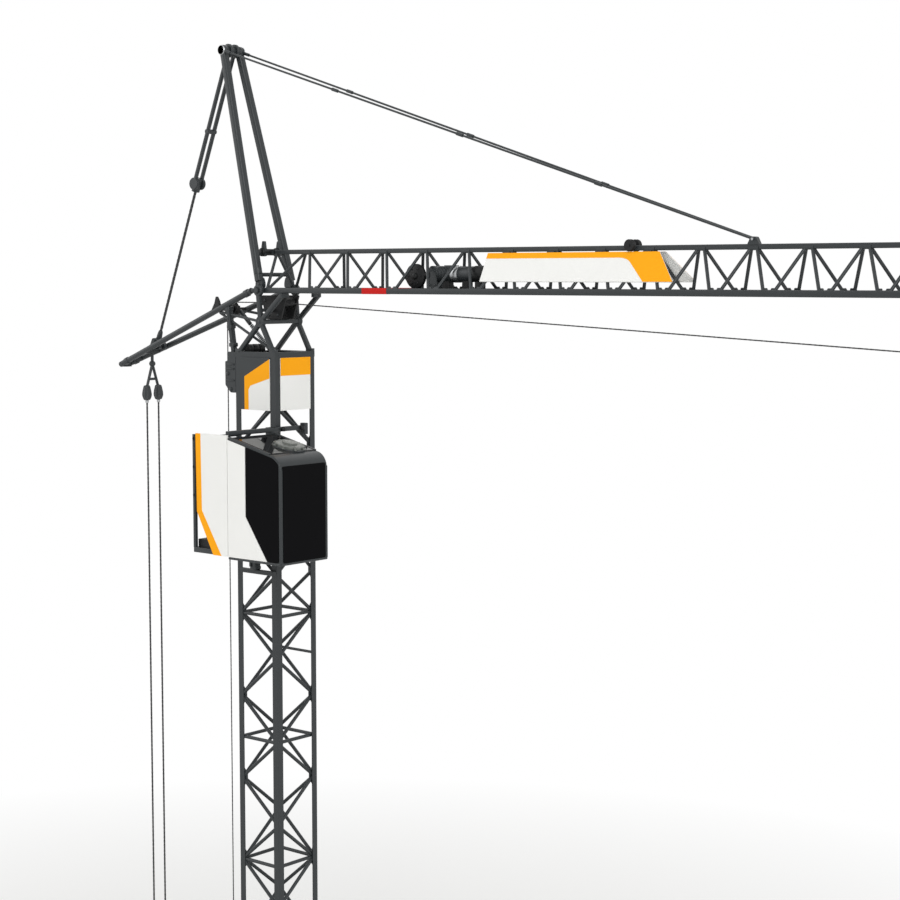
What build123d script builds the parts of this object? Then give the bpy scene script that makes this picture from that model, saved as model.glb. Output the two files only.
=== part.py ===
from build123d import *
import os

# A display model of a fast-erecting tower crane, in millimetres.
# The frame: ground at height zero, slewing axis at the origin, jib along +X.

# sides of tubes and wheels, which are drawn with few faces
TUBE_SIDE_COUNT = 8
WHEEL_SIDE_COUNT = 16

# undercarriage and slewing ring
BASE_SPAN = 134.0
BASE_ARM_WIDTH = 11.0
BASE_ARM_HEIGHT = 9.0
BASE_PAD_RADIUS = 9.0
BASE_HUB_RADIUS = 19.0
BASE_HUB_TOP = 13.0
SPIGOT_RADIUS = 5.0
SPIGOT_TOP = 16.4
SLEW_GAP = 0.4
SLEW_BORE_GAP = 0.3
RING_RADIUS = 20.0
RING_TOP = 17.0

# slewing platform, ballast and hoist winch
DECK_REAR = -58.0
DECK_FRONT = 37.0
DECK_WIDTH = 44.0
DECK_BOTTOM = 19.0
DECK_TOP = 22.0
DECK_BEAM_WIDTH = 6.0
DECK_BEAM_Y = 13.0
BALLAST_REAR = -49.0
BALLAST_FRONT = -17.0
BALLAST_WIDTH = 40.0
BALLAST_HEIGHT = 11.0
BALLAST_GAP = 0.6
BALLAST_COUNT = 3
BALLAST_EDGE = 1.2
WINCH_DRUM_RADIUS = 4.0
WINCH_FLANGE_RADIUS = 6.0
WINCH_LENGTH = 18.0
WINCH_CHEEK = 1.6
WINCH_AXIS_ABOVE_DECK = 7.0

# tower
TOWER_X = 20.0
TOWER_HEIGHT = 306.0
TOWER_HALF = 10.3
POST = 1.8
ANGLE_LEG = 2.8
ANGLE_THICK = 0.6
LACE = 1.3
BAY_COUNT = 9
RING_EVERY = 1.5
FOOT_STUB = 4.0
POST_STUB = 1.45
TOP_RING_HEIGHT = 2.2
TRAY_REAR = -7.4
TRAY_FRONT = -2.6
TRAY_THICK = 1.2
FOOT_PLATE = 6.0
FOOT_PLATE_HEIGHT = 1.2

# tower head and jib pivot, measured from the tower axis and the pivot height
PIVOT_X = 1.5
PIVOT_ABOVE_NODE = 28.0
HEAD_KNEE_X = 2.6
HEAD_KNEE_DROP = 12.4
HEAD_BAR = 1.8
HEAD_EYE_RADIUS = 2.3
PIN_RADIUS = 0.6
PIN_FIT = 0.03
PIN_RUN_GAP = 0.1
REST_X = 14.4
REST_SIZE = 1.6
REST_GAP = 0.1
CHEEK_REAR = -4.0
CHEEK_FRONT = 10.4
CHEEK_TAPER = 3.2
CHEEK_TOP_DROP = 2.0
CHEEK_Y = 3.4
CHEEK_THICK = 0.8
SHEAVE_RADIUS = 2.6
SHEAVE_WIDTH = 2.0
SHEAVE_GROOVE = 0.6
SHEAVE_SHAFT = 0.7
HEAD_SHEAVE_X = 2.3
ROPE_DROP = 5.2
ROPE = 0.5

# sign panels and gear box on the tower
PANEL_TOP_DROP = 26.8
PANEL_BOTTOM_DROP = 48.0
PANEL_THICK = 0.6
GEARBOX_REACH = 6.0
GEARBOX_WIDTH = 9.0
GEARBOX_TOP_DROP = 24.6
GEARBOX_BOTTOM_DROP = 41.0
GEARBOX_CHAMFER = 3.0

# rear strut and its rigging, measured back from the tower axis
STRUT_RADIUS = 1.2
STRUT_ROOT_X = -2.4
STRUT_ROOT_DROP = 0.1
STRUT_TIP_X = -92.0
STRUT_TIP_DROP = 32.28
STRUT_TIP_HALF = 2.0
STRUT_END_LENGTH = 3.0
KNEE_X = -24.5
LUG_X = -70.0
LUG_RISE = 2.4
LUG_WIDTH = 3.0
LUG_HALF = 3.0
ROD_LUG_PIN = 0.9
LINK_TOP_X = -18.0
LINK_FOOT_X = -15.0
LINK_WIDE = 2.4
LINK_DEEP = 2.6
LINK_Y = -8.1
SCREW_Y = 3.7
SCREW_SIZE = 1.2
YOKE_X = -74.0
YOKE_NECK_DROP = 31.5
YOKE_TIE_DROP = 38.0
YOKE_BAR = 1.2
YOKE_HALF = 3.2
YOKE_BLOCK_TOP = 40.5
YOKE_BLOCK_BOTTOM = 47.0
YOKE_BLOCK_LENGTH = 4.4
YOKE_BLOCK_WIDTH = 2.2
GUY = 0.8
GUY_LUG_SIZE = 4.0

# lifting cab beside the tower, measured from the tower axis and the pivot
CAB_REAR = 13.4
CAB_FRONT = 42.1
CAB_WIDTH = 25.7
CAB_GAP = 0.2
CAB_TOP_DROP = 55.7
CAB_HEIGHT = 46.3
CAB_ROOF_SLOPE = 6.7
CAB_ROOF_ROUND = 6.0
CAB_EDGE = 1.0
CAB_SKIN = 0.5
CAB_SILL = 1.0
CAB_PILLAR = 1.4
WINDOW_LEFT = 23.0
WINDOW_KNEE_RISE = 16.4
WINDOW_LOW_LEFT = 34.6
WINDOW_BELOW_ROOF = 1.1
FRONT_BELOW_ROOF = 9.7
ROOF_PANE_REAR = 15.0
ROOF_PANE_FRONT = 24.0
ROOF_PANE_INSET = 1.6
HATCH_X = 30.4
HATCH_Y = -23.0
HATCH_RADIUS = 5.9
HATCH_HEIGHT = 2.0
PLATFORM_REAR = -7.2
PLATFORM_THICK = 2.0
REAR_POST = 1.4
PANEL_REAR = -4.4
PANEL_KNEE_X = -4.0
PANEL_LOW_X = 5.0
PANEL_ABOVE_ROOF = 0.6
SIDE_SKIN = 0.8
RAIL_COUNT = 4
GUIDE_GAP = 0.5
GUIDE_BAR = 1.8
GUIDE_HEIGHT = 1.8
GUIDE_REACH = 7.0
GUIDE_HANGER = 10.8
GUIDE_ABOVE_ROOF = 2.1
GUIDE_BELOW_FLOOR = 9.1
HANGER_REAR = -3.7
HANGER_FRONT = 3.3

# jib, measured forward from the tower axis
JIB_FIRST_NODE = 18.9
JIB_LENGTH = 323.84
JIB_BAY_COUNT = 16
JIB_HEIGHT = 15.14
JIB_SIDE_GAP = 0.25
TOP_CHORD = 1.8
LOW_CHORD = 2.2
JIB_LACE = 1.2
LACE_FOOT_SPREAD = 8.4
LACE_HEAD_SPREAD = 1.0
CHORD_REAR = -1.1
END_NODE_X = 3.8
TOP_REAR = 0.8
TIP_OVERHANG = 6.0
END_SHAFT_RADIUS = 1.7
END_SHAFT_HALF = 5.3
END_LUG_RISE = 4.4
END_LUG_THICK = 1.2
END_LUG_LENGTH = 2.2

# mast frame over the jib foot
POLE_RADIUS = 1.5
POLE_FOOT_RISE = 3.6
POLE_FOOT_OUT = 0.9
APEX_X = -23.4
APEX_RISE = 96.0
APEX_HALF = 4.2
APEX_SHAFT = 1.7
APEX_SHAFT_HALF = 6.0
TIE_RISE = 6.2
TIE_RADIUS = 0.8
STAY = 0.8
STAY_BAY_COUNT = 10
STAY_LUG_RISE = 2.4

# luffing rods and rope
ROD_HALF = 1.7
ROD = 1.4
ROD_EYE_RADIUS = 2.8
ROD_YOKE_X = -44.6
ROD_YOKE_RISE = 43.2
ROD_YOKE_LENGTH = 6.0
ROD_YOKE_WIDTH = 5.0
LUFF_ROPE = 1.2
ROPE_EYE_RADIUS = 1.8
ROPE_EYE_WIDTH = 1.6
ROPE_SOCKET = 5.0

# trolley winch, sign boards and sheaves on the jib
WINCH_X = 75.1
DRUM_RISE = 5.6
DRUM_RADIUS = 4.6
DRUM_HALF = 0.8
DRUM_SHAFT = 0.9
BEARING_THICK = 1.0
BED_THICK = 0.8
BED_REAR = 70.0
BED_FRONT = 111.0
GEAR_REAR = 83.0
GEAR_FRONT = 87.0
GEAR_RISE = 9.4
GEAR_HALF = 2.0
MOTOR_RADIUS = 3.1
MOTOR_FRONT = 110.0
MOTOR_RISE = 6.3
MOTOR_FOOT = 2.0
BOARD_LOW = 3.2
BOARD_HIGH = 13.4
BOARD_REAR_LOW = 111.6
BOARD_REAR_HIGH = 111.2
BOARD_FRONT_LOW = 194.4
BOARD_FRONT_HIGH = 185.6
BOARD_THICK = 0.5
TOP_SHEAVE_X = 173.4
TOP_SHEAVE_RADIUS = 2.1
TOP_SHEAVE_WIDTH = 1.8

# hoist rope along the jib, trolley and hook block
TROLLEY_FROM_TIP = 46.7
TROLLEY_LENGTH = 18.0
TROLLEY_PLATE = 1.2
TROLLEY_DROP = 4.0
TROLLEY_CHEEK_GAP = 0.3
WHEEL_RADIUS = 1.5
TROLLEY_SHEAVE = 2.6
ROPE_END_DROP = 18.5
HOOK_GAP = 7.0
HOOK_BLOCK_LENGTH = 7.0
HOOK_BLOCK_HEIGHT = 6.0
HOOK_BLOCK_WIDTH = 3.0
HOOK_RADIUS = 2.6
HOOK_THICK = 1.4
HOOK_SHANK = 3.0

# sizes that follow from the ones above
NODE_FOOT = DECK_TOP + FOOT_STUB
NODE_TOP = NODE_FOOT + TOWER_HEIGHT
BAY = TOWER_HEIGHT / BAY_COUNT
PIVOT_Z = NODE_TOP + PIVOT_ABOVE_NODE
POST_TOP = NODE_TOP + POST_STUB
POST_OUT = TOWER_HALF + POST / 2
POST_IN = TOWER_HALF - POST / 2
LEG_IN = POST_OUT - ANGLE_LEG
JIB_BAY = JIB_LENGTH / JIB_BAY_COUNT
JIB_HALF = POST_IN - JIB_SIDE_GAP - LOW_CHORD / 2
TIP_NODE = JIB_FIRST_NODE + JIB_LENGTH
CHORD_FRONT = TIP_NODE + JIB_BAY / 2 + TIP_OVERHANG
TROLLEY_X = TIP_NODE - TROLLEY_FROM_TIP
CAB_INNER = -(POST_OUT + GUIDE_GAP + GUIDE_BAR + CAB_GAP)
CAB_OUTER = CAB_INNER - CAB_WIDTH
CAB_BOTTOM_DROP = CAB_TOP_DROP + CAB_HEIGHT
WINDOW_KNEE_DROP = CAB_BOTTOM_DROP - WINDOW_KNEE_RISE
ROOF_FALL = CAB_ROOF_SLOPE / (CAB_FRONT - CAB_REAR)
FRONT_TOP_DROP = CAB_TOP_DROP + FRONT_BELOW_ROOF
GUIDE_TOP_DROP = CAB_TOP_DROP - GUIDE_ABOVE_ROOF
GUIDE_LOW_DROP = CAB_BOTTOM_DROP + GUIDE_BELOW_FLOOR


def at(x, y, rise):
    # a point given from the tower axis and the jib pivot height
    return Vector(TOWER_X + x, y, PIVOT_Z + rise)


def block(x0, x1, y0, y1, z0, z1):
    # a box between two corners
    middle = Pos((x0 + x1) / 2, (y0 + y1) / 2, (z0 + z1) / 2)
    return middle * Box(abs(x1 - x0), abs(y1 - y0), abs(z1 - z0))


def near(x0, x1, y0, y1, rise0, rise1):
    # a box given from the tower axis and the pivot height
    return block(TOWER_X + x0, TOWER_X + x1, y0, y1, PIVOT_Z + rise0, PIVOT_Z + rise1)


def bar(start, end, wide, deep, normal):
    # a straight four-sided bar whose deep side lies along the normal
    a = Vector(*start)
    b = Vector(*end)
    run = b - a
    along = run.normalized()
    n = Vector(*normal)
    side = (n - along * n.dot(along)).normalized()
    frame = Plane(origin=a, x_dir=side, z_dir=along)
    return extrude(frame * Rectangle(deep, wide), run.length)


def rod(start, end, radius):
    # a round rod between two points
    a = Vector(*start)
    run = Vector(*end) - a
    frame = Plane(origin=a, z_dir=run.normalized())
    return extrude(frame * Circle(radius), run.length)


def tube(start, end, radius):
    # a straight tube drawn with few sides
    a = Vector(*start)
    run = Vector(*end) - a
    frame = Plane(origin=a, z_dir=run.normalized())
    return extrude(frame * RegularPolygon(radius, TUBE_SIDE_COUNT), run.length)


def wheel(centre, radius, width, axis):
    # a wheel drawn with few sides, centred on a point
    frame = Plane(origin=Vector(*centre), z_dir=Vector(*axis))
    return extrude(frame * RegularPolygon(radius, WHEEL_SIDE_COUNT), width / 2, both=True)


def disc(centre, radius, width, axis):
    # a round disc centred on a point
    frame = Plane(origin=Vector(*centre), z_dir=Vector(*axis))
    return extrude(frame * Circle(radius), width / 2, both=True)


def plate_y(points, y0, y1):
    # a flat plate drawn in the upright plane along the jib
    frame = Plane(origin=(0, y0, 0), x_dir=(1, 0, 0), z_dir=(0, -1, 0))
    return extrude(frame * Polygon(*points, align=None), y0 - y1)


def joined(pieces):
    # one solid from pieces that cross
    return pieces[0].fuse(*pieces[1:])


def several(pieces):
    # like pieces that do not touch
    return Compound(children=list(pieces))


def save(name, shape):
    os.makedirs("parts", exist_ok=True)
    export_step(shape, "parts/" + name + ".step")


Y_AXIS = (0, 1, 0)
X_AXIS = (1, 0, 0)
Z_AXIS = (0, 0, 1)


# undercarriage
def make_base():
    half = BASE_SPAN / 2
    arm = Box(BASE_SPAN, BASE_ARM_WIDTH, BASE_ARM_HEIGHT)
    pieces = [Pos(0, 0, BASE_ARM_HEIGHT / 2) * Rot(0, 0, turn) * arm for turn in (45, 135)]
    for turn in (45, 135, 225, 315):
        pad = tube((half, 0, 0), (half, 0, BASE_ARM_HEIGHT), BASE_PAD_RADIUS)
        pieces.append(Rot(0, 0, turn) * pad)
    pieces.append(Pos(0, 0, BASE_HUB_TOP / 2) * Cylinder(BASE_HUB_RADIUS, BASE_HUB_TOP))
    pieces.append(Pos(0, 0, SPIGOT_TOP / 2) * Cylinder(SPIGOT_RADIUS, SPIGOT_TOP))
    save("base_cross", joined(pieces))


def make_slewing():
    low = BASE_HUB_TOP + SLEW_GAP
    tall = RING_TOP - low
    ring = Pos(0, 0, low + tall / 2) * Cylinder(RING_RADIUS, tall)
    bore = Pos(0, 0, low + tall / 2) * Cylinder(SPIGOT_RADIUS + SLEW_BORE_GAP, tall * 2)
    save("slewing_ring", ring - bore)
    deck = block(DECK_REAR, DECK_FRONT, -DECK_WIDTH / 2, DECK_WIDTH / 2, DECK_BOTTOM, DECK_TOP)
    pieces = [deck]
    for side in (-1, 1):
        inner = side * (DECK_BEAM_Y - DECK_BEAM_WIDTH / 2)
        outer = side * (DECK_BEAM_Y + DECK_BEAM_WIDTH / 2)
        pieces.append(block(DECK_REAR, DECK_FRONT, inner, outer, RING_TOP, DECK_BOTTOM))
    save("slewing_platform", joined(pieces))


def make_ballast():
    slabs = []
    for i in range(BALLAST_COUNT):
        low = DECK_TOP + i * (BALLAST_HEIGHT + BALLAST_GAP)
        slab = block(BALLAST_REAR, BALLAST_FRONT, -BALLAST_WIDTH / 2, BALLAST_WIDTH / 2,
                     low, low + BALLAST_HEIGHT)
        slabs.append(chamfer(slab.edges().filter_by(Axis.Z), BALLAST_EDGE))
    save("ballast_slabs", several(slabs))


def make_hoist_winch():
    axis_z = DECK_TOP + WINCH_AXIS_ABOVE_DECK
    axis_x = rear_rope_x() + WINCH_DRUM_RADIUS + ROPE / 2
    half = WINCH_LENGTH / 2
    centre = (axis_x, 0, axis_z)
    pieces = [wheel(centre, WINCH_DRUM_RADIUS, WINCH_LENGTH, Y_AXIS)]
    for side in (-1, 1):
        y = side * half
        pieces.append(wheel((axis_x, y, axis_z), WINCH_FLANGE_RADIUS, WINCH_CHEEK, Y_AXIS))
        inner = y + side * WINCH_CHEEK / 2
        outer = inner + side * WINCH_CHEEK
        pieces.append(block(axis_x - WINCH_DRUM_RADIUS, axis_x + WINCH_DRUM_RADIUS,
                            inner, outer, DECK_TOP, axis_z + WINCH_DRUM_RADIUS))
    save("hoist_winch", joined(pieces))


def rear_rope_x():
    # the hoist rope hangs from the back of the knee sheave
    return TOWER_X + KNEE_X - SHEAVE_RADIUS - ROPE / 2


# tower
def face_bars(across, normal):
    # zigzag and ring bars of one tower face, across(s, z) gives a point
    pieces = []
    for i in range(2 * BAY_COUNT):
        high = NODE_TOP - BAY / 2 * i
        low = high - BAY / 2
        start = -1 if i % 2 == 0 else 1
        pieces.append(bar(across(start, high), across(-start, low), LACE, LACE, normal))
    count = int(BAY_COUNT / RING_EVERY) + 1
    for i in range(count):
        level = NODE_TOP - BAY * RING_EVERY * i
        pieces.append(bar(across(-1, level), across(1, level), LACE, LACE, normal))
    return pieces


def make_tower():
    for name, side in (("tower_right_side", -1), ("tower_left_side", 1)):
        pieces = []
        for end in (-1, 1):
            x = TOWER_X + end * POST_OUT
            y = side * POST_OUT
            pieces.append(block(x, x - end * ANGLE_LEG, y, y - side * ANGLE_THICK, DECK_TOP, POST_TOP))
            pieces.append(block(x, x - end * ANGLE_THICK, y, y - side * ANGLE_LEG, DECK_TOP, POST_TOP))
            x = TOWER_X + end * TOWER_HALF
            y = side * TOWER_HALF
            pieces.append(block(x - FOOT_PLATE / 2, x + FOOT_PLATE / 2, y - FOOT_PLATE / 2,
                                y + FOOT_PLATE / 2, DECK_TOP, DECK_TOP + FOOT_PLATE_HEIGHT))
        pieces += face_bars(lambda s, z: (TOWER_X - s * side * TOWER_HALF, side * TOWER_HALF, z),
                            Y_AXIS)
        save(name, joined(pieces))
    window = block(TOWER_X - POST_OUT, TOWER_X + POST_OUT, -POST_IN, POST_IN, DECK_TOP, POST_TOP)
    lace_x = POST_OUT - ANGLE_THICK - LACE / 2
    for name, end in (("tower_front_lacing", 1), ("tower_rear_lacing", -1)):
        pieces = face_bars(lambda s, z: (TOWER_X + end * lace_x, s * end * -TOWER_HALF, z), X_AXIS)
        save(name, joined(pieces) & window)
    low = POST_TOP
    high = POST_TOP + TOP_RING_HEIGHT
    outer = block(TOWER_X - POST_OUT, TOWER_X + POST_OUT, -POST_OUT, POST_OUT, low, high)
    inner = block(TOWER_X - POST_IN, TOWER_X + POST_IN, -POST_IN, POST_IN,
                  low - TOP_RING_HEIGHT, high + TOP_RING_HEIGHT)
    tray = near(TRAY_REAR, TRAY_FRONT, -POST_IN, POST_IN, low - PIVOT_Z, low - PIVOT_Z + TRAY_THICK)
    save("tower_top_ring", (outer - inner) + tray)


# tower head with the jib pivot
def make_head():
    ring_top = POST_TOP + TOP_RING_HEIGHT - PIVOT_Z
    sides = []
    for side in (-1, 1):
        y = side * TOWER_HALF
        knee = at(HEAD_KNEE_X, y, -HEAD_KNEE_DROP)
        eye = at(PIVOT_X, y, 0)
        rest = at(REST_X, y, -LOW_CHORD / 2 - REST_GAP - REST_SIZE / 2)
        pieces = [bar(at(end * TOWER_HALF, y, ring_top - HEAD_BAR / 2), knee, HEAD_BAR, POST, Y_AXIS)
                  for end in (-1, 1)]
        pieces.append(bar(knee, eye, HEAD_BAR, POST, Y_AXIS))
        pieces.append(bar(knee, rest, HEAD_BAR, POST, Y_AXIS))
        pieces.append(disc(eye, HEAD_EYE_RADIUS, POST, Y_AXIS))
        pieces.append(wheel(knee, HEAD_EYE_RADIUS, POST, Y_AXIS))
        pieces.append(Pos(rest) * Box(REST_SIZE, POST, REST_SIZE))
        solid = joined(pieces)
        solid = solid & near(-POST_OUT, REST_X + REST_SIZE, -POST_OUT, POST_OUT, ring_top,
                             HEAD_EYE_RADIUS)
        sides.append(solid - disc(eye, PIN_RADIUS + PIN_FIT, POST * 2, Y_AXIS))
    save("tower_head", several(sides))
    save("pivot_pin", rod(at(PIVOT_X, -POST_OUT, 0), at(PIVOT_X, POST_OUT, 0), PIN_RADIUS))
    rest_low = -LOW_CHORD / 2 - REST_GAP - REST_SIZE
    under = JIB_HALF - LOW_CHORD / 2
    rests = [near(REST_X - REST_SIZE / 2, REST_X + REST_SIZE / 2, side * under, side * POST_IN,
                  rest_low, rest_low + REST_SIZE) for side in (-1, 1)]
    beam_top = -HEAD_KNEE_DROP + HEAD_BAR / 2
    ties = [near(HEAD_KNEE_X - HEAD_BAR, HEAD_KNEE_X + HEAD_BAR, -POST_IN, POST_IN,
                 beam_top - HEAD_BAR, beam_top)]
    sheave_rise = -ROPE_DROP - SHEAVE_RADIUS
    shaft_room = tube(at(HEAD_SHEAVE_X, -POST_IN, sheave_rise), at(HEAD_SHEAVE_X, POST_IN, sheave_rise),
                      SHEAVE_SHAFT + PIN_FIT)
    ends = ((CHEEK_REAR, -CHEEK_TOP_DROP), (CHEEK_REAR + CHEEK_TAPER, beam_top),
            (CHEEK_FRONT - CHEEK_TAPER, beam_top), (CHEEK_FRONT, -CHEEK_TOP_DROP))
    outline = [(TOWER_X + x, PIVOT_Z + rise) for x, rise in ends]
    for side in (-1, 1):
        y = side * CHEEK_Y
        ties.append(plate_y(outline, y - CHEEK_THICK / 2, y + CHEEK_THICK / 2) - shaft_room)
    save("head_ties", several(ties + rests))
    save("head_sheave", sheave_on_shaft(HEAD_SHEAVE_X, sheave_rise, POST_IN))


def sheave_on_shaft(x, rise, half):
    # a grooved rope sheave with its cross shaft
    centre = at(x, 0, rise)
    rim = wheel(centre, SHEAVE_RADIUS + SHEAVE_GROOVE, SHEAVE_WIDTH, Y_AXIS)
    groove = wheel(centre, SHEAVE_RADIUS + SHEAVE_GROOVE * 2, SHEAVE_WIDTH / 2, Y_AXIS)
    groove = groove - wheel(centre, SHEAVE_RADIUS, SHEAVE_WIDTH, Y_AXIS)
    shaft = tube(at(x, -half, rise), at(x, half, rise), SHEAVE_SHAFT)
    return (rim - groove) + shaft


# sign panels and gear box
def make_tower_panels():
    high = -PANEL_TOP_DROP
    low = -PANEL_BOTTOM_DROP
    near_y = TOWER_HALF + LACE / 2
    panels = [near(-LEG_IN, LEG_IN, side * near_y, side * (near_y + PANEL_THICK), low, high)
              for side in (-1, 1)]
    panels.append(near(near_y, near_y + PANEL_THICK, -LEG_IN, LEG_IN, low, high))
    save("tower_sign_panels", several(panels))
    rear = -POST_OUT - GEARBOX_REACH
    box = near(rear, -POST_OUT, -POST_OUT, -POST_OUT + GEARBOX_WIDTH, -GEARBOX_BOTTOM_DROP,
               -GEARBOX_TOP_DROP)
    low_edge = box.edges().filter_by(Axis.Y).group_by(Axis.X)[0].group_by(Axis.Z)[0]
    save("gear_box", chamfer(low_edge, GEARBOX_CHAMFER))


# rear strut with its links and stays
def strut_line(x):
    # drop and half spread of the strut at a place behind the tower
    share = (x - STRUT_ROOT_X) / (STRUT_TIP_X - STRUT_ROOT_X)
    drop = STRUT_ROOT_DROP + (STRUT_TIP_DROP - STRUT_ROOT_DROP) * share
    half = TOWER_HALF + (STRUT_TIP_HALF - TOWER_HALF) * share
    return drop, half


def lug_point():
    drop, half = strut_line(LUG_X)
    return at(LUG_X, 0, -drop + LUG_RISE)


def make_strut():
    pieces = []
    for side in (-1, 1):
        root = at(STRUT_ROOT_X, side * TOWER_HALF, -STRUT_ROOT_DROP)
        tip = at(STRUT_TIP_X, side * STRUT_TIP_HALF, -STRUT_TIP_DROP)
        head = at(PIVOT_X, side * TOWER_HALF, -STRUT_ROOT_DROP)
        pieces.append(tube(root, tip, STRUT_RADIUS))
        pieces.append(bar(root, head, STRUT_RADIUS * 2, POST, Y_AXIS))
    tip_drop = STRUT_TIP_DROP
    pieces.append(near(STRUT_TIP_X, STRUT_TIP_X + STRUT_END_LENGTH, -STRUT_TIP_HALF, STRUT_TIP_HALF,
                       -tip_drop - STRUT_RADIUS, -tip_drop + STRUT_RADIUS + STRUT_END_LENGTH / 3))
    for x in (LUG_X, YOKE_X):
        drop, half = strut_line(x)
        pieces.append(near(x - LUG_WIDTH / 2, x + LUG_WIDTH / 2, -half, half,
                           -drop - STRUT_RADIUS, -drop + STRUT_RADIUS))
    lug = lug_point()
    drop, half = strut_line(LUG_X)
    for side in (-1, 1):
        inner = side * (ROPE_EYE_WIDTH / 2 + PIN_RUN_GAP)
        outer = side * LUG_HALF
        pieces.append(near(LUG_X - LUG_WIDTH / 2, LUG_X + LUG_WIDTH / 2, inner, outer, -drop,
                           -drop + LUG_RISE + LUG_WIDTH / 2))
    solid = joined(pieces)
    for side in (-1, 1):
        inside = disc(at(PIVOT_X, side * TOWER_HALF, 0), HEAD_EYE_RADIUS, POST * 2, Y_AXIS)
        solid = solid - inside
        knee = at(HEAD_KNEE_X, side * TOWER_HALF, -HEAD_KNEE_DROP)
        eye = at(PIVOT_X, side * TOWER_HALF, 0)
        solid = solid - bar(knee, eye, HEAD_BAR, POST * 2, Y_AXIS)
    keep = near(STRUT_TIP_X * 2, PIVOT_X, -TOWER_HALF * 2, TOWER_HALF * 2, -PIVOT_Z / 2, PIVOT_Z / 2)
    solid = solid & keep
    eye_room = disc(lug, ROPE_EYE_RADIUS + PIN_RUN_GAP, ROPE_EYE_WIDTH + PIN_RUN_GAP * 2, Y_AXIS)
    pin = rod((lug.X, -LUG_HALF, lug.Z), (lug.X, LUG_HALF, lug.Z), ROD_LUG_PIN)
    save("rear_strut", (solid - eye_room) + pin)
    knee_drop, knee_half = strut_line(KNEE_X)
    sheave_drop = ROPE_DROP + SHEAVE_RADIUS
    shaft = sheave_on_shaft(KNEE_X, -sheave_drop, knee_half)
    tubes = [tube(at(STRUT_ROOT_X, side * TOWER_HALF, -STRUT_ROOT_DROP),
                  at(STRUT_TIP_X, side * STRUT_TIP_HALF, -STRUT_TIP_DROP), STRUT_RADIUS)
             for side in (-1, 1)]
    save("knee_sheave", shaft - tubes)
    top_drop, top_half = strut_line(LINK_TOP_X)
    link = bar(at(LINK_TOP_X, LINK_Y, -top_drop), at(LINK_FOOT_X, LINK_Y, -GEARBOX_TOP_DROP - LINK_WIDE),
               LINK_WIDE, LINK_DEEP, Y_AXIS)
    above = near(-PIVOT_Z, 0, -PIVOT_Z, PIVOT_Z, -GEARBOX_TOP_DROP, 0)
    links = [(link & above) - tubes]
    shaft_room = tube(at(KNEE_X, -knee_half, -sheave_drop), at(KNEE_X, knee_half, -sheave_drop),
                      SHEAVE_SHAFT + PIN_FIT)
    tray_low = POST_TOP - PIVOT_Z
    tray_x = (TRAY_REAR + TRAY_FRONT) / 2
    screw = bar(at(KNEE_X, SCREW_Y, -sheave_drop), at(tray_x, SCREW_Y, tray_low), SCREW_SIZE, SCREW_SIZE,
                Y_AXIS)
    over_tray = near(-PIVOT_Z, PIVOT_Z, -POST_OUT, POST_OUT, tray_low + TRAY_THICK, PIVOT_Z)
    links.append((screw - shaft_room) & over_tray)
    save("strut_links", several(links))


def make_rear_guys():
    drop, half = strut_line(YOKE_X)
    top = -drop - STRUT_RADIUS
    neck = near(YOKE_X - YOKE_BAR / 2, YOKE_X + YOKE_BAR / 2, -YOKE_BAR / 2, YOKE_BAR / 2,
                -YOKE_NECK_DROP - YOKE_BAR, top)
    reach = YOKE_HALF * (YOKE_TIE_DROP - YOKE_NECK_DROP) / (YOKE_BLOCK_TOP - YOKE_NECK_DROP)
    tie = near(YOKE_X - YOKE_BAR / 2, YOKE_X + YOKE_BAR / 2, -reach, reach,
               -YOKE_TIE_DROP - YOKE_BAR / 2, -YOKE_TIE_DROP + YOKE_BAR / 2)
    pieces = [neck, tie]
    for side in (-1, 1):
        y = side * YOKE_HALF
        pieces.append(bar(at(YOKE_X, 0, -YOKE_NECK_DROP), at(YOKE_X, y, -YOKE_BLOCK_TOP - YOKE_BAR),
                          YOKE_BAR, YOKE_BAR, X_AXIS))
        pieces.append(near(YOKE_X - YOKE_BLOCK_LENGTH / 2, YOKE_X + YOKE_BLOCK_LENGTH / 2,
                           y - YOKE_BLOCK_WIDTH / 2, y + YOKE_BLOCK_WIDTH / 2,
                           -YOKE_BLOCK_BOTTOM, -YOKE_BLOCK_TOP))
    save("strut_yoke", joined(pieces))
    foot = DECK_TOP + GUY_LUG_SIZE
    guys = [block(TOWER_X + YOKE_X - GUY / 2, TOWER_X + YOKE_X + GUY / 2, side * YOKE_HALF - GUY / 2,
                  side * YOKE_HALF + GUY / 2, foot, PIVOT_Z - YOKE_BLOCK_BOTTOM) for side in (-1, 1)]
    lug_half = YOKE_HALF + GUY_LUG_SIZE / 2
    guys.append(block(TOWER_X + YOKE_X - GUY_LUG_SIZE / 2, TOWER_X + YOKE_X + GUY_LUG_SIZE / 2,
                      -lug_half, lug_half, DECK_TOP, foot))
    save("rear_guys", joined(guys))
    rope_x = rear_rope_x()
    sheave_axis = -ROPE_DROP - SHEAVE_RADIUS
    low = DECK_TOP + WINCH_AXIS_ABOVE_DECK
    down = block(rope_x - ROPE / 2, rope_x + ROPE / 2, -ROPE / 2, ROPE / 2, low,
                 PIVOT_Z + sheave_axis)
    over = near(KNEE_X, HEAD_KNEE_X, -ROPE / 2, ROPE / 2, -ROPE_DROP, -ROPE_DROP + ROPE)
    save("hoist_rope_rear", several([down, over]))


# lifting cab
def cab_profile():
    # side outline of the cab, with a roof that falls to the front
    rear = TOWER_X + CAB_REAR
    front = TOWER_X + CAB_FRONT
    low = PIVOT_Z - CAB_BOTTOM_DROP - CAB_SILL
    high = PIVOT_Z - CAB_TOP_DROP
    return [(rear, low), (front, low), (front, high - CAB_ROOF_SLOPE), (rear, high)]


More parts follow.
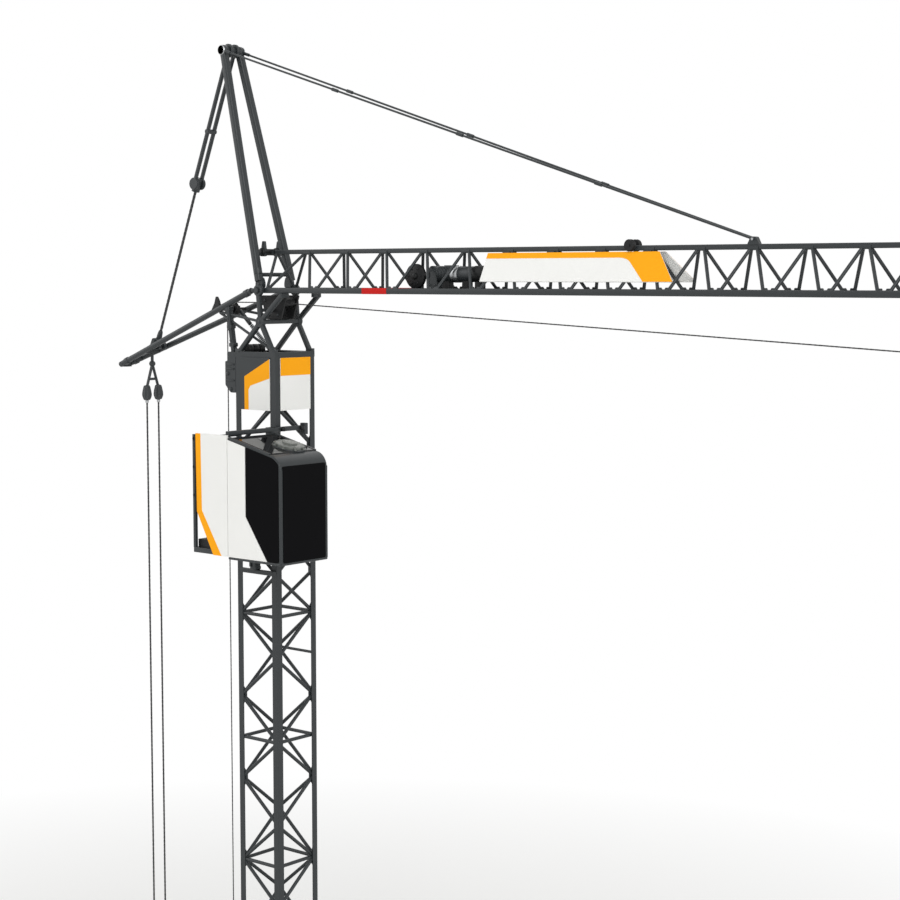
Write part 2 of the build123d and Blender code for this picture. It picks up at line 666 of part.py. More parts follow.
def below_roof(x, drop):
    # point of the cab's side that lies a given drop under the roof
    return (TOWER_X + x, PIVOT_Z - CAB_TOP_DROP - ROOF_FALL * (x - CAB_REAR) - drop)


def side_window_outline():
    front = CAB_FRONT - CAB_PILLAR
    low = PIVOT_Z - CAB_BOTTOM_DROP
    return [below_roof(WINDOW_LEFT, WINDOW_BELOW_ROOF), (TOWER_X + WINDOW_LEFT, PIVOT_Z - WINDOW_KNEE_DROP),
            (TOWER_X + WINDOW_LOW_LEFT, low), (TOWER_X + front, low),
            below_roof(front, WINDOW_BELOW_ROOF + CAB_ROOF_ROUND / 4),
            below_roof(front - CAB_ROOF_ROUND / 2, WINDOW_BELOW_ROOF)]


def make_cab():
    body = plate_y(cab_profile(), CAB_OUTER, CAB_INNER)
    top_front = body.edges().filter_by(Axis.Y).group_by(Axis.X)[-1].group_by(Axis.Z)[-1]
    body = fillet(top_front, CAB_ROOF_ROUND)
    corners = body.edges().filter_by(Axis.Z).group_by(Axis.X)[-1]
    body = chamfer(corners, CAB_EDGE)
    outer = plate_y(side_window_outline(), CAB_OUTER, CAB_OUTER + CAB_SKIN)
    inner = plate_y(side_window_outline(), CAB_INNER - CAB_SKIN, CAB_INNER)
    front = near(CAB_FRONT - CAB_SKIN, CAB_FRONT, CAB_OUTER + CAB_PILLAR, CAB_INNER - CAB_PILLAR,
                 -CAB_BOTTOM_DROP, -FRONT_TOP_DROP)
    low = PIVOT_Z - CAB_BOTTOM_DROP
    rear = TOWER_X + CAB_REAR
    left = TOWER_X + WINDOW_LEFT
    white = [(rear, low), (TOWER_X + WINDOW_LOW_LEFT, low), (left, PIVOT_Z - WINDOW_KNEE_DROP),
             below_roof(WINDOW_LEFT, WINDOW_BELOW_ROOF), below_roof(CAB_REAR, WINDOW_BELOW_ROOF)]
    panel = plate_y(white, CAB_OUTER, CAB_OUTER + CAB_SKIN)
    save("cab_side_panel", panel)
    save("cab_body", body - outer - inner - front - panel)
    roof = [below_roof(ROOF_PANE_REAR, 0), below_roof(ROOF_PANE_FRONT, 0)]
    lifted = [(x, z + CAB_SKIN) for x, z in reversed(roof)]
    pane = plate_y(roof + lifted, CAB_OUTER + ROOF_PANE_INSET, CAB_INNER - ROOF_PANE_INSET)
    save("cab_windows", several([outer, inner, front, pane]))
    hatch_drop = CAB_TOP_DROP + ROOF_FALL * (HATCH_X - CAB_REAR)
    lean = ROOF_FALL * HATCH_HEIGHT
    hatch = rod(at(HATCH_X - lean, HATCH_Y, -hatch_drop - HATCH_HEIGHT),
                at(HATCH_X + lean, HATCH_Y, -hatch_drop + HATCH_HEIGHT), HATCH_RADIUS)
    save("cab_roof_hatch", hatch - plate_y(cab_profile(), CAB_OUTER, CAB_INNER))


def make_cab_platform():
    low = -CAB_BOTTOM_DROP
    floor = near(PLATFORM_REAR, CAB_REAR, CAB_OUTER + SIDE_SKIN, CAB_INNER, low, low + PLATFORM_THICK)
    save("cab_platform", floor)
    pieces = []
    rear = PLATFORM_REAR
    for y in (CAB_OUTER + SIDE_SKIN, CAB_INNER - REAR_POST):
        pieces.append(near(rear, rear + REAR_POST, y, y + REAR_POST, low + PLATFORM_THICK,
                           -CAB_TOP_DROP))
    rise = (CAB_BOTTOM_DROP - PLATFORM_THICK - CAB_TOP_DROP) / RAIL_COUNT
    for i in range(RAIL_COUNT):
        high = -CAB_TOP_DROP - rise * i
        pieces.append(near(rear, rear + REAR_POST, CAB_OUTER + SIDE_SKIN, CAB_INNER,
                           high - REAR_POST, high))
    save("cab_rear_rail", joined(pieces))
    outline = [(TOWER_X + PANEL_REAR, PIVOT_Z - CAB_TOP_DROP + PANEL_ABOVE_ROOF),
               (TOWER_X + PANEL_KNEE_X, PIVOT_Z - WINDOW_KNEE_DROP),
               (TOWER_X + PANEL_LOW_X, PIVOT_Z - CAB_BOTTOM_DROP),
               (TOWER_X + CAB_REAR, PIVOT_Z - CAB_BOTTOM_DROP),
               (TOWER_X + CAB_REAR, PIVOT_Z - CAB_TOP_DROP + PANEL_ABOVE_ROOF)]
    save("cab_rear_panel", plate_y(outline, CAB_OUTER, CAB_OUTER + SIDE_SKIN))


def make_cab_guides():
    inside = POST_OUT + GUIDE_GAP
    outside = inside + GUIDE_BAR
    high = -GUIDE_TOP_DROP
    low = high - GUIDE_HEIGHT
    upper = [near(inside, outside, CAB_OUTER + SIDE_SKIN, GUIDE_REACH, low, high)]
    upper.append(near(inside, outside + GUIDE_BAR / 2, GUIDE_REACH - GUIDE_BAR, GUIDE_REACH,
                      low - GUIDE_BAR, high + GUIDE_BAR / 2))
    upper.append(near(CAB_REAR - GUIDE_BAR * 2, CAB_REAR, CAB_INNER - GUIDE_BAR, -inside,
                      -CAB_TOP_DROP - GUIDE_HANGER, high))
    save("cab_guide_upper", joined(upper) - plate_y(cab_profile(), CAB_OUTER, CAB_INNER))
    high = -GUIDE_LOW_DROP
    low = high - GUIDE_HEIGHT
    lower = [near(-POST_OUT, outside, -outside, -inside, low, high),
             near(HANGER_REAR, HANGER_FRONT, CAB_INNER - GUIDE_BAR, -inside, low, -CAB_BOTTOM_DROP)]
    save("cab_guide_lower", joined(lower))


# jib
def top_node(i):
    return JIB_FIRST_NODE + JIB_BAY * i


def low_nodes():
    nodes = [END_NODE_X]
    nodes += [top_node(i) + JIB_BAY / 2 for i in range(JIB_BAY_COUNT + 1)]
    return nodes


def low_chord(side):
    y = side * JIB_HALF
    half = LOW_CHORD / 2
    chord = near(CHORD_REAR, CHORD_FRONT, y - half, y + half, -half, half)
    return chord - disc(at(PIVOT_X, y, 0), PIN_RADIUS + PIN_RUN_GAP, LOW_CHORD * 2, Y_AXIS)


def top_chord():
    half = TOP_CHORD / 2
    return near(TOP_REAR, TIP_NODE + half, -half, half, JIB_HEIGHT - half, JIB_HEIGHT + half)


def make_jib():
    nodes = low_nodes()
    for name, side in (("jib_right_side", -1), ("jib_left_side", 1)):
        normal = (0, side * JIB_HEIGHT, JIB_HALF)
        pieces = [low_chord(side)]
        for i in range(JIB_BAY_COUNT + 1):
            middle = top_node(i)
            for end in (-1, 1):
                foot = middle + end * LACE_FOOT_SPREAD
                if i == 0 and end < 0:
                    foot = END_NODE_X
                pieces.append(bar(at(foot, side * JIB_HALF, 0),
                                  at(middle + end * LACE_HEAD_SPREAD, 0, JIB_HEIGHT),
                                  JIB_LACE, JIB_LACE, normal))
        pieces.append(bar(at(END_NODE_X, side * JIB_HALF, 0),
                          at(TOP_REAR + TOP_CHORD / 2, 0, JIB_HEIGHT), JIB_LACE, JIB_LACE, normal))
        solid = joined(pieces) - top_chord()
        half_room = near(-TOWER_X, CHORD_FRONT * 2, 0, side * JIB_HALF * 2, -JIB_HEIGHT, JIB_HEIGHT * 2)
        pin_room = disc(at(PIVOT_X, side * JIB_HALF, 0), PIN_RADIUS + PIN_RUN_GAP, LOW_CHORD * 2, Y_AXIS)
        save(name, (solid & half_room) - pin_room)
    save("jib_top_chord", top_chord())
    inside = JIB_HALF - LOW_CHORD / 2
    level = -LOW_CHORD / 2 + JIB_LACE / 2
    pieces = []
    for i, x in enumerate(nodes[1:]):
        pieces.append(bar(at(x, -inside, level), at(x, inside, level), JIB_LACE, JIB_LACE, Z_AXIS))
        pieces.append(bar(at(nodes[i], inside, level), at(x, -inside, level), JIB_LACE, JIB_LACE, Z_AXIS))
    room = near(PIVOT_X, CHORD_FRONT, -inside, inside, -JIB_HEIGHT, JIB_HEIGHT)
    save("jib_bottom_lacing", joined(pieces) & room)
    make_jib_ends()


def make_jib_ends():
    shaft = tube(at(TOP_REAR - END_SHAFT_RADIUS, -END_SHAFT_HALF, JIB_HEIGHT),
                 at(TOP_REAR - END_SHAFT_RADIUS, END_SHAFT_HALF, JIB_HEIGHT), END_SHAFT_RADIUS)
    pieces = [shaft]
    for side in (-1, 1):
        y = side * (END_SHAFT_HALF - END_LUG_THICK)
        pieces.append(near(TOP_REAR - END_LUG_LENGTH, TOP_REAR, y - END_LUG_THICK / 2,
                           y + END_LUG_THICK / 2, JIB_HEIGHT - END_SHAFT_RADIUS, JIB_HEIGHT + END_LUG_RISE))
    pieces.append(near(TOP_REAR - END_SHAFT_RADIUS, TOP_REAR, -TOP_CHORD / 2, TOP_CHORD / 2,
                       JIB_HEIGHT - TOP_CHORD / 2, JIB_HEIGHT + TOP_CHORD / 2))
    save("jib_end_shaft", joined(pieces))
    half = LOW_CHORD / 2
    beam = near(CHORD_FRONT, CHORD_FRONT + LOW_CHORD, -JIB_HALF - half, JIB_HALF + half, -half, half)
    roller = wheel(at(CHORD_FRONT + LOW_CHORD, 0, -half), LOW_CHORD, LOW_CHORD, Y_AXIS)
    save("jib_tip", beam + roller)


# mast frame and stays
def pole_point(side, rise):
    share = (rise - POLE_FOOT_RISE) / (APEX_RISE - POLE_FOOT_RISE)
    x = PIVOT_X + (APEX_X - PIVOT_X) * (rise / APEX_RISE)
    foot = JIB_HALF + POLE_FOOT_OUT
    return at(x, side * (foot + (APEX_HALF - foot) * share), rise)


def make_mast():
    apex = at(APEX_X, 0, APEX_RISE)
    shaft = rod((apex.X, -APEX_SHAFT_HALF, apex.Z), (apex.X, APEX_SHAFT_HALF, apex.Z), APEX_SHAFT)
    tie_points = [pole_point(side, TIE_RISE) for side in (-1, 1)]
    tie = tube(tie_points[0], tie_points[1], TIE_RADIUS)
    poles = []
    for side in (-1, 1):
        low = pole_point(side, 0)
        pole = tube(low, pole_point(side, APEX_RISE), POLE_RADIUS)
        above = near(-PIVOT_Z, PIVOT_Z, -PIVOT_Z, PIVOT_Z, POLE_FOOT_RISE, PIVOT_Z)
        half = LOW_CHORD / 2
        y = side * JIB_HALF
        foot = near(PIVOT_X - POLE_RADIUS * 2, PIVOT_X + POLE_RADIUS / 2, y - half, y + half, half,
                    POLE_FOOT_RISE + POLE_RADIUS)
        poles.append(joined([pole & above, foot]) - shaft)
    save("mast_pole_right", poles[0])
    save("mast_pole_left", poles[1])
    save("mast_cross_bars", several([tie - poles, shaft]))
    lug_x = top_node(STAY_BAY_COUNT)
    lug_top = JIB_HEIGHT + TOP_CHORD / 2 + STAY_LUG_RISE
    lug = near(lug_x - STAY_LUG_RISE, lug_x + STAY_LUG_RISE, -TOP_CHORD / 2, TOP_CHORD / 2,
               JIB_HEIGHT + TOP_CHORD / 2, lug_top)
    stays = [lug]
    for side in (-1, 1):
        head = Vector(apex.X, side * (APEX_SHAFT_HALF - STAY), apex.Z)
        foot = at(lug_x, side * TOP_CHORD / 2, lug_top - STAY)
        stays.append(bar(head, foot, STAY, STAY, Y_AXIS) - shaft)
    save("fore_stays", joined(stays))


# luffing rods and rope
def make_luffing():
    apex = at(APEX_X, 0, APEX_RISE)
    yoke = at(ROD_YOKE_X, 0, ROD_YOKE_RISE)
    lug = lug_point()
    pull = (yoke - apex).normalized()
    pieces = []
    for side in (-1, 1):
        y = Vector(0, side * ROD_HALF, 0)
        pieces.append(bar(apex + y, yoke + y, ROD, ROD, Y_AXIS))
        pieces.append(wheel(apex + y, ROD_EYE_RADIUS, ROD, Y_AXIS))
    pieces.append(bar(yoke - pull * (ROD_YOKE_LENGTH / 2), yoke + pull * (ROD_YOKE_LENGTH / 2),
                      ROD_YOKE_WIDTH / 2, ROD_YOKE_WIDTH, Y_AXIS))
    hole = disc(apex, APEX_SHAFT + PIN_RUN_GAP, ROD_YOKE_WIDTH * 2, Y_AXIS)
    save("guy_rods", joined(pieces) - hole)
    rope_top = yoke + pull * (ROD_YOKE_LENGTH / 2)
    up = (rope_top - lug).normalized()
    rope_foot = lug + up * ROPE_SOCKET
    save("luffing_rope", bar(rope_foot, rope_top, LUFF_ROPE, LUFF_ROPE, Y_AXIS))
    eye = disc(lug, ROPE_EYE_RADIUS, ROPE_EYE_WIDTH, Y_AXIS)
    socket = bar(lug, rope_foot, LUFF_ROPE * 2, ROPE_EYE_WIDTH, Y_AXIS)
    hole = disc(lug, ROD_LUG_PIN + PIN_RUN_GAP, ROPE_EYE_WIDTH * 2, Y_AXIS)
    save("rope_anchor", joined([eye, socket]) - hole)


# pieces on the jib
def make_jib_winch():
    inside = JIB_HALF - LOW_CHORD / 2
    low = -LOW_CHORD / 2 + JIB_LACE
    high = low + BED_THICK
    pieces = [near(BED_REAR, BED_FRONT, -inside, inside, low, high)]
    pieces.append(near(WINCH_X - DRUM_SHAFT * 2, WINCH_X + DRUM_SHAFT * 2, DRUM_HALF,
                       DRUM_HALF + BEARING_THICK, high, DRUM_RISE + DRUM_SHAFT))
    pieces.append(near(GEAR_REAR, GEAR_FRONT, -GEAR_HALF, GEAR_HALF, high, GEAR_RISE))
    save("winch_frame", joined(pieces))
    centre = at(WINCH_X, 0, DRUM_RISE)
    save("winch_drum", disc(centre, DRUM_RADIUS, DRUM_HALF * 2, Y_AXIS))
    motor = rod(at(GEAR_FRONT, 0, MOTOR_RISE), at(MOTOR_FRONT, 0, MOTOR_RISE), MOTOR_RADIUS)
    foot = near(GEAR_FRONT + MOTOR_FOOT, MOTOR_FRONT - MOTOR_FOOT, -MOTOR_RADIUS / 2, MOTOR_RADIUS / 2,
                high, MOTOR_RISE)
    save("winch_motor", motor + foot)


def make_boards():
    boards = []
    for side in (-1, 1):
        normal = Vector(0, side * JIB_HEIGHT, JIB_HALF).normalized()
        up = Vector(0, -side * JIB_HALF, JIB_HEIGHT)
        foot = at(0, side * JIB_HALF, 0) + normal * (JIB_LACE / 2)
        corners = []
        for x, rise in ((BOARD_REAR_LOW, BOARD_LOW), (BOARD_FRONT_LOW, BOARD_LOW),
                        (BOARD_FRONT_HIGH, BOARD_HIGH), (BOARD_REAR_HIGH, BOARD_HIGH)):
            corners.append(foot + up * (rise / JIB_HEIGHT) + Vector(x, 0, 0))
        face = Face(Wire.make_polygon(corners, close=True))
        boards.append(extrude(face, BOARD_THICK, dir=normal))
    save("jib_boards", several(boards))
    half = TOP_CHORD / 2
    wheels = [wheel(at(TOP_SHEAVE_X, side * (half + TOP_SHEAVE_WIDTH / 2), JIB_HEIGHT + half),
                    TOP_SHEAVE_RADIUS, TOP_SHEAVE_WIDTH, Y_AXIS) for side in (-1, 1)]
    save("jib_top_sheaves", several(wheels))


def make_trolley():
    half = LOW_CHORD / 2
    side_in = JIB_HALF + half
    front = TROLLEY_X + TROLLEY_LENGTH / 2
    rear = TROLLEY_X - TROLLEY_LENGTH / 2
    outer = side_in + WHEEL_RADIUS / 2 + TROLLEY_PLATE
    pieces = [near(rear, front, -outer, outer, -TROLLEY_DROP - TROLLEY_PLATE, -TROLLEY_DROP)]
    for side in (-1, 1):
        y = side * (side_in + WHEEL_RADIUS / 2)
        pieces.append(near(rear, front, y, side * outer, -TROLLEY_DROP - TROLLEY_PLATE, half))
        for x in (rear + WHEEL_RADIUS, front - WHEEL_RADIUS):
            middle = side * (side_in + WHEEL_RADIUS / 4)
            pieces.append(wheel(at(x, middle, 0), WHEEL_RADIUS, WHEEL_RADIUS / 2, Y_AXIS))
    drop = ROPE_END_DROP - TROLLEY_SHEAVE - ROPE / 2
    cheek = SHEAVE_WIDTH / 2 + TROLLEY_CHEEK_GAP
    for side in (-1, 1):
        pieces.append(near(rear, front, side * cheek, side * (cheek + TROLLEY_PLATE),
                           -drop - TROLLEY_PLATE, -TROLLEY_DROP))
    for x in (rear + TROLLEY_SHEAVE, front - TROLLEY_SHEAVE):
        pieces.append(wheel(at(x, 0, -drop), TROLLEY_SHEAVE, SHEAVE_WIDTH, Y_AXIS))
        pieces.append(tube(at(x, -cheek, -drop), at(x, cheek, -drop), SHEAVE_SHAFT))
    save("trolley", joined(pieces))
    top = -drop - HOOK_GAP - TROLLEY_SHEAVE
    low = top - HOOK_BLOCK_HEIGHT
    length = HOOK_BLOCK_LENGTH / 2
    block_solid = near(TROLLEY_X - length, TROLLEY_X + length, -HOOK_BLOCK_WIDTH / 2,
                       HOOK_BLOCK_WIDTH / 2, low, top)
    shank = near(TROLLEY_X - HOOK_THICK / 2, TROLLEY_X + HOOK_THICK / 2, -HOOK_THICK / 2,
                 HOOK_THICK / 2, low - HOOK_SHANK, low)
    centre = at(TROLLEY_X, 0, low - HOOK_SHANK - HOOK_RADIUS + HOOK_THICK / 2)
    hook = disc(centre, HOOK_RADIUS, HOOK_THICK, Y_AXIS)
    hook = hook - disc(centre, HOOK_RADIUS - HOOK_THICK, HOOK_THICK * 2, Y_AXIS)
    mouth = block(centre.X - HOOK_RADIUS * 2, centre.X - HOOK_THICK / 2, -HOOK_THICK, HOOK_THICK,
                  centre.Z, centre.Z + HOOK_RADIUS * 2)
    save("hook_block", joined([block_solid, shank, hook - mouth]))
    falls = []
    for side in (-1, 1):
        x = TROLLEY_X + side * (length - ROPE)
        falls.append(near(x - ROPE / 2, x + ROPE / 2, -ROPE / 2, ROPE / 2, top,
                          -TROLLEY_DROP - TROLLEY_PLATE))
    head = at(HEAD_KNEE_X, 0, -ROPE_DROP + ROPE / 2)
    foot = at(rear + TROLLEY_SHEAVE, 0, -ROPE_END_DROP)
    save("hoist_rope", several([bar(head, foot, ROPE, ROPE, Y_AXIS)] + falls))


make_base()
make_slewing()
make_ballast()
make_hoist_winch()
make_tower()
make_head()
make_tower_panels()
make_strut()
make_rear_guys()
make_cab()
make_cab_platform()
make_cab_guides()
make_jib()
make_mast()
make_luffing()
make_jib_winch()
make_boards()
make_trolley()
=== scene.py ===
import math

import bpy
import numpy as np
from bpy.props import FloatProperty, FloatVectorProperty, IntProperty, PointerProperty
from bpy.types import Operator, Panel, PropertyGroup
from mathutils import Matrix


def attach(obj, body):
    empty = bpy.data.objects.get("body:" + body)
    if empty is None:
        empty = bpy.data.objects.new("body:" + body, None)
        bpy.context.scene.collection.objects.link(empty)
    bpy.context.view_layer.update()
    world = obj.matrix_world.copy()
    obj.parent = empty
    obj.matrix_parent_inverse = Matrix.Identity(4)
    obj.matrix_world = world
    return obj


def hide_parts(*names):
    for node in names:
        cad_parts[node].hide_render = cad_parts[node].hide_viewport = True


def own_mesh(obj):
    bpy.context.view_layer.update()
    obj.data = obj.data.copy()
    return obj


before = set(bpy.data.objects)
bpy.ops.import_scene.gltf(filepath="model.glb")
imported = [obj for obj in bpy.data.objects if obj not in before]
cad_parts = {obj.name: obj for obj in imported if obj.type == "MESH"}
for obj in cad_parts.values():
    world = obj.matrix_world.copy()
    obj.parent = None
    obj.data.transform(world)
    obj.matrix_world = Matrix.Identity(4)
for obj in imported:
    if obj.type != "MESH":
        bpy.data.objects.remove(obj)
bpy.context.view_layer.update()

bl_info = {
    "name": "Tower crane model",
    "version": (1, 0, 0),
    "blender": (4, 5, 0),
    "location": "3D View > Sidebar > Crane",
    "description": "Dresses the solids of a fast-erecting tower crane display model",
    "category": "Object",
}

MM = 0.001
X, Y, Z = np.eye(3)

# the two sides of the crane, with minus to the right of one who looks out along the jib
BOTH = (-1, 1)
SIDES = (("right", -1), ("left", 1))

# signs that flip an outline from side to side, and a profile end for end
ACROSS = (-1, 1)
ENDWISE = (1, -1)

# tower, in millimetres as in the solids: axis, posts, heights over the floor, nodes and rings
TOWER_X = 20.0
POST_HALF = 10.3
POST_OUT = 11.2
POST_IN = 9.4
LEG_IN = 8.4
DECK_TOP = 22.0
WINCH_Z = 29.0
NODE_TOP = 332.0
POST_TOP = 333.45
RING_TOP = 335.65
PIVOT_Z = 360.0
HALF_BAY = 17.0
HALF_BAYS = 18
RING_STEP = 51.0
RINGS = 7

# range of half bays whose lacing runs the other way, none or on the left face, and that face's extra rung
PLAIN_LACING = (0, 0)
TURNED_LACING = (3, 6)
EXTRA_RUNG = 7

# jib: from here on, places are given from the tower axis and the height of the jib pivot
PIVOT_X = 1.5
JIB_FIRST = 18.9
JIB_BAY = 20.24
JIB_TOPS = 17
JIB_RISE = 15.14
JIB_HALF = 8.05
JIB_LOW_FIRST = 3.8
CHORD_REAR = -1.1
CHORD_FRONT = 358.86
TOP_REAR = 0.8
TOP_FRONT = 343.64
TROLLEY_X = 296.04

# tower head, rear strut and guys: knees, sheaves, strut ends, lugs and the guys' foot block
HEAD_X = 2.6
KNEE = -12.4
REST_REAR, REST_FRONT = 13.6, 15.2
REST_LOW, REST_HIGH = -2.8, -1.2
SHEAVE_RADIUS, SHEAVE_LIP, SHEAVE_WIDTH = 2.6, 0.6, 2.0
SHEAVE_SHAFT = 1.4
HEAD_SHEAVE_X = 2.3
KNEE_SHEAVE_X = -24.5
SHEAVE_Z = -7.8
ROPE_LEVEL = -4.95
ROOT_X, ROOT_Z = -2.4, -0.1
TIP_X, TIP_Z, TIP_HALF = -92.0, -32.28, 2.0
LUG_X = -70.0
GUY_X = -74.0
END_BAR_X = -84.0
YOKE_HALF = 3.2
GUY_TOP = -47.0
GUY_BLOCK_HIGH = 4.0

# cab: rear, front, outer and inner side, roof and floor
CAB_REAR, CAB_FRONT = 13.4, 42.1
CAB_OUT, CAB_IN = -39.4, -13.7
CAB_HIGH, CAB_LOW = -55.7, -102.0
CAB_SILL = 1.0
ROOF_FALL = 6.7
ROOF_ROUND = 6.0
ROOF_RIM = 1.1
PANE_REAR = 23.0
WINDOW_KNEE = -85.6
PLATFORM_REAR = -7.2
PANEL_TOP = -55.1

# mast and luffing gear
APEX_X, APEX_RISE, APEX_HALF = -23.4, 96.0, 4.2
POLE_FOOT = 3.6
STAY_BAYS = 10
ROPE_SOCKET = 5.0
YOKE_END = 3.0

SMOOTH_ANGLE = 40.0
BEVEL_ANGLE = 50.0


def linear(code):
    """Linear colour of an sRGB hex code, by the sRGB curve on each of its three bytes."""
    parts = np.array([int(code[i:i + 2], 16) for i in (1, 3, 5)]) / 255.0
    return tuple(np.where(parts <= 0.04045, parts / 12.92, ((parts + 0.055) / 1.055) ** 2.4))


def size(label, words, millimetres):
    """A length that a user may change, kept in metres."""
    return FloatProperty(name=label, description=words, default=millimetres * MM, min=0.0,
                         unit="LENGTH", precision=5)


def colour(label, words, code):
    """A colour that a user may change, given as an sRGB hex code."""
    return FloatVectorProperty(name=label, description=words, default=linear(code), min=0.0, max=1.0,
                               subtype="COLOR", size=3)


class CraneSizes(PropertyGroup):
    lace: size("Tower lacing", "Thickness of the tower's lacing bars", 1.45)
    jib_lace: size("Jib lacing", "Thickness of the jib's lacing bars", 1.2)
    low_chord: size("Lower chord", "Side of the jib's lower chords", 2.2)
    top_chord: size("Top chord", "Side of the jib's top chord", 1.8)
    angle_leg: size("Angle leg", "Leg of the tower's angle posts", 2.8)
    angle_wall: size("Angle wall", "Wall of the tower's angle posts", 0.6)
    corner: size("Bar corner", "Rounding of square bars", 0.3)
    edge: size("Plate edge", "Rounding of plate edges", 0.15)
    pole: size("Mast pole", "Diameter of the mast poles", 3.0)
    strut: size("Strut tube", "Diameter of the rear strut tubes", 2.4)
    rope: size("Hoist rope", "Diameter of the hoist rope", 0.5)
    guy: size("Rear guy", "Diameter of the rear guy ropes", 0.8)
    luff: size("Luffing rope", "Diameter of the luffing rope", 1.2)
    lay: size("Rope lay", "Length of one turn of a rope's strands", 12.0)
    print_rise: size("Print height", "Height of a printed colour over its panel", 0.06)
    bar_steps: IntProperty(name="Bar faces", description="Faces round a round bar", default=14, min=6)
    wheel_steps: IntProperty(name="Wheel faces", description="Faces round a wheel", default=48, min=12)


class CraneColours(PropertyGroup):
    paint: colour("Frame paint", "Dark grey of the steelwork", "#2A2E30")
    white: colour("Panel white", "White of the panels", "#EDEDEA")
    orange: colour("Print orange", "Yellow-orange of the bands", "#FDA914")
    red: colour("Mark red", "Red of the chord marks", "#C21F1C")
    glass: colour("Window black", "Black of the printed windows", "#08080A")
    plastic: colour("Moulded black", "Black of wheels and drums", "#121314")
    thread: colour("Rope thread", "Dark grey of the ropes", "#2E2F30")
    ballast: colour("Ballast grey", "Grey of the ballast blocks", "#7C7E7C")
    hatch: colour("Hatch grey", "Smoke grey of the roof hatch", "#6C6F6B")
    pin: colour("Pin steel", "Bare steel of pins and bolts", "#A9ABAC")
    floor: colour("Floor", "Pale floor under the model", "#F7F7F5")


def sizes():
    """The sizes in millimetres, as the shapes use them."""
    group = bpy.context.scene.crane_sizes
    names = group.__annotations__
    return {n: getattr(group, n) if n.endswith("steps") else getattr(group, n) / MM for n in names}


def at(x, y, rise):
    """A point given from the tower axis and the height of the jib pivot."""
    x, y, rise = np.broadcast_arrays(np.asarray(x, float), y, rise)
    return np.stack([TOWER_X + x, y, PIVOT_Z + rise], axis=-1)


def unit(vectors):
    """Vectors divided by their own lengths."""
    vectors = np.asarray(vectors, float)
    return vectors / np.linalg.norm(vectors, axis=-1, keepdims=True)


# outlines in a plane, walked against the clock
def circle(radius, steps):
    """A round outline: radius times the cosine and sine of equal turns."""
    turn = np.arange(steps) * (2 * np.pi / steps)
    return np.stack([np.cos(turn), np.sin(turn)], axis=1) * radius


def rounded(wide, deep, corner, steps=4):
    """A rectangle with quarter circles at its corners: four arcs about the corner centres."""
    turn = np.linspace(0, np.pi / 2, steps) + np.arange(4)[:, None] * (np.pi / 2)
    signs = np.array([[1, 1], [-1, 1], [-1, -1], [1, -1]])
    centres = signs * np.array([wide / 2 - corner, deep / 2 - corner])
    arcs = centres[:, None] + np.stack([np.cos(turn), np.sin(turn)], axis=2) * corner
    return arcs.reshape(-1, 2)


def angle_section(leg, wall, quarter):
    """An angle section with its heel at zero, turned by quarter turns."""
    heel = wall / 3
    toe = wall / 2
    points = np.array([[0, heel], [heel, 0], [leg, 0], [leg, toe], [leg - toe, wall], [wall, wall],
                       [wall, leg - toe], [toe, leg], [0, leg]])
    turn = quarter * np.pi / 2
    spin = np.array([[np.cos(turn), np.sin(turn)], [-np.sin(turn), np.cos(turn)]])
    return points @ spin


def bent(start, middle, end, steps):
    """Points on a quadratic curve: it leaves start towards middle and comes to end from middle."""
    t = np.linspace(0, 1, steps)[:, None]
    return (1 - t) ** 2 * start + 2 * t * (1 - t) * middle + t ** 2 * end


def softened(points, radius, steps=5):
    """A polygon whose corners are curves: each corner is a quadratic curve between two points near it."""
    points = np.asarray(points, float)
    before = points + unit(np.roll(points, 1, axis=0) - points) * radius
    after = points + unit(np.roll(points, -1, axis=0) - points) * radius
    return bent(before[:, None], points[:, None], after[:, None], steps).reshape(-1, 2)


def mirrored(half, flip):
    """A line from one half of it: the points, then the same walked back with the signs in flip."""
    half = np.asarray(half, float)
    return np.concatenate([half, (half * flip)[::-1]])


# profiles of turned shapes: distance from the axis and place along it
def rim(bore, flat, radius, half, edge):
    """A disc with sloped rims: bore, flat face and rim of one side, then the same mirrored."""
    return mirrored([[bore, -half], [flat, -half], [radius, -edge]], ENDWISE)


def collar(inner, radius, half, edge):
    """A ring with sloped ends: from the inner line up to its radius and down again."""
    return mirrored([[inner, -half], [radius, -edge]], ENDWISE)


# shapes: points and faces
def merged(shapes):
    """Shapes put together: points are stacked and face numbers move up by the points before them."""
    points = np.concatenate([s[0] for s in shapes])
    starts = np.cumsum([0] + [len(s[0]) for s in shapes[:-1]])
    faces = [tuple(i + start for i in face) for s, start in zip(shapes, starts) for face in s[1]]
    return points, faces


def rings_to_shape(rings, closed_rings=False):
    """A grid of rings, one after the other: neighbours are joined by quads and the ends are closed."""
    n, m = rings.shape[:2]
    i = np.arange(m)
    j = (i + 1) % m
    last = n if closed_rings else n - 1
    row = np.arange(last)[:, None] * m
    up = (np.arange(last)[:, None] + 1) % n * m
    quads = np.stack([row + i, row + j, up + j, up + i], axis=2).reshape(-1, 4).tolist()
    faces = [tuple(q) for q in quads]
    if not closed_rings:
        faces.append(tuple(range(m - 1, -1, -1)))
        faces.append(tuple(range((n - 1) * m, n * m)))
    return rings.reshape(-1, 3), faces


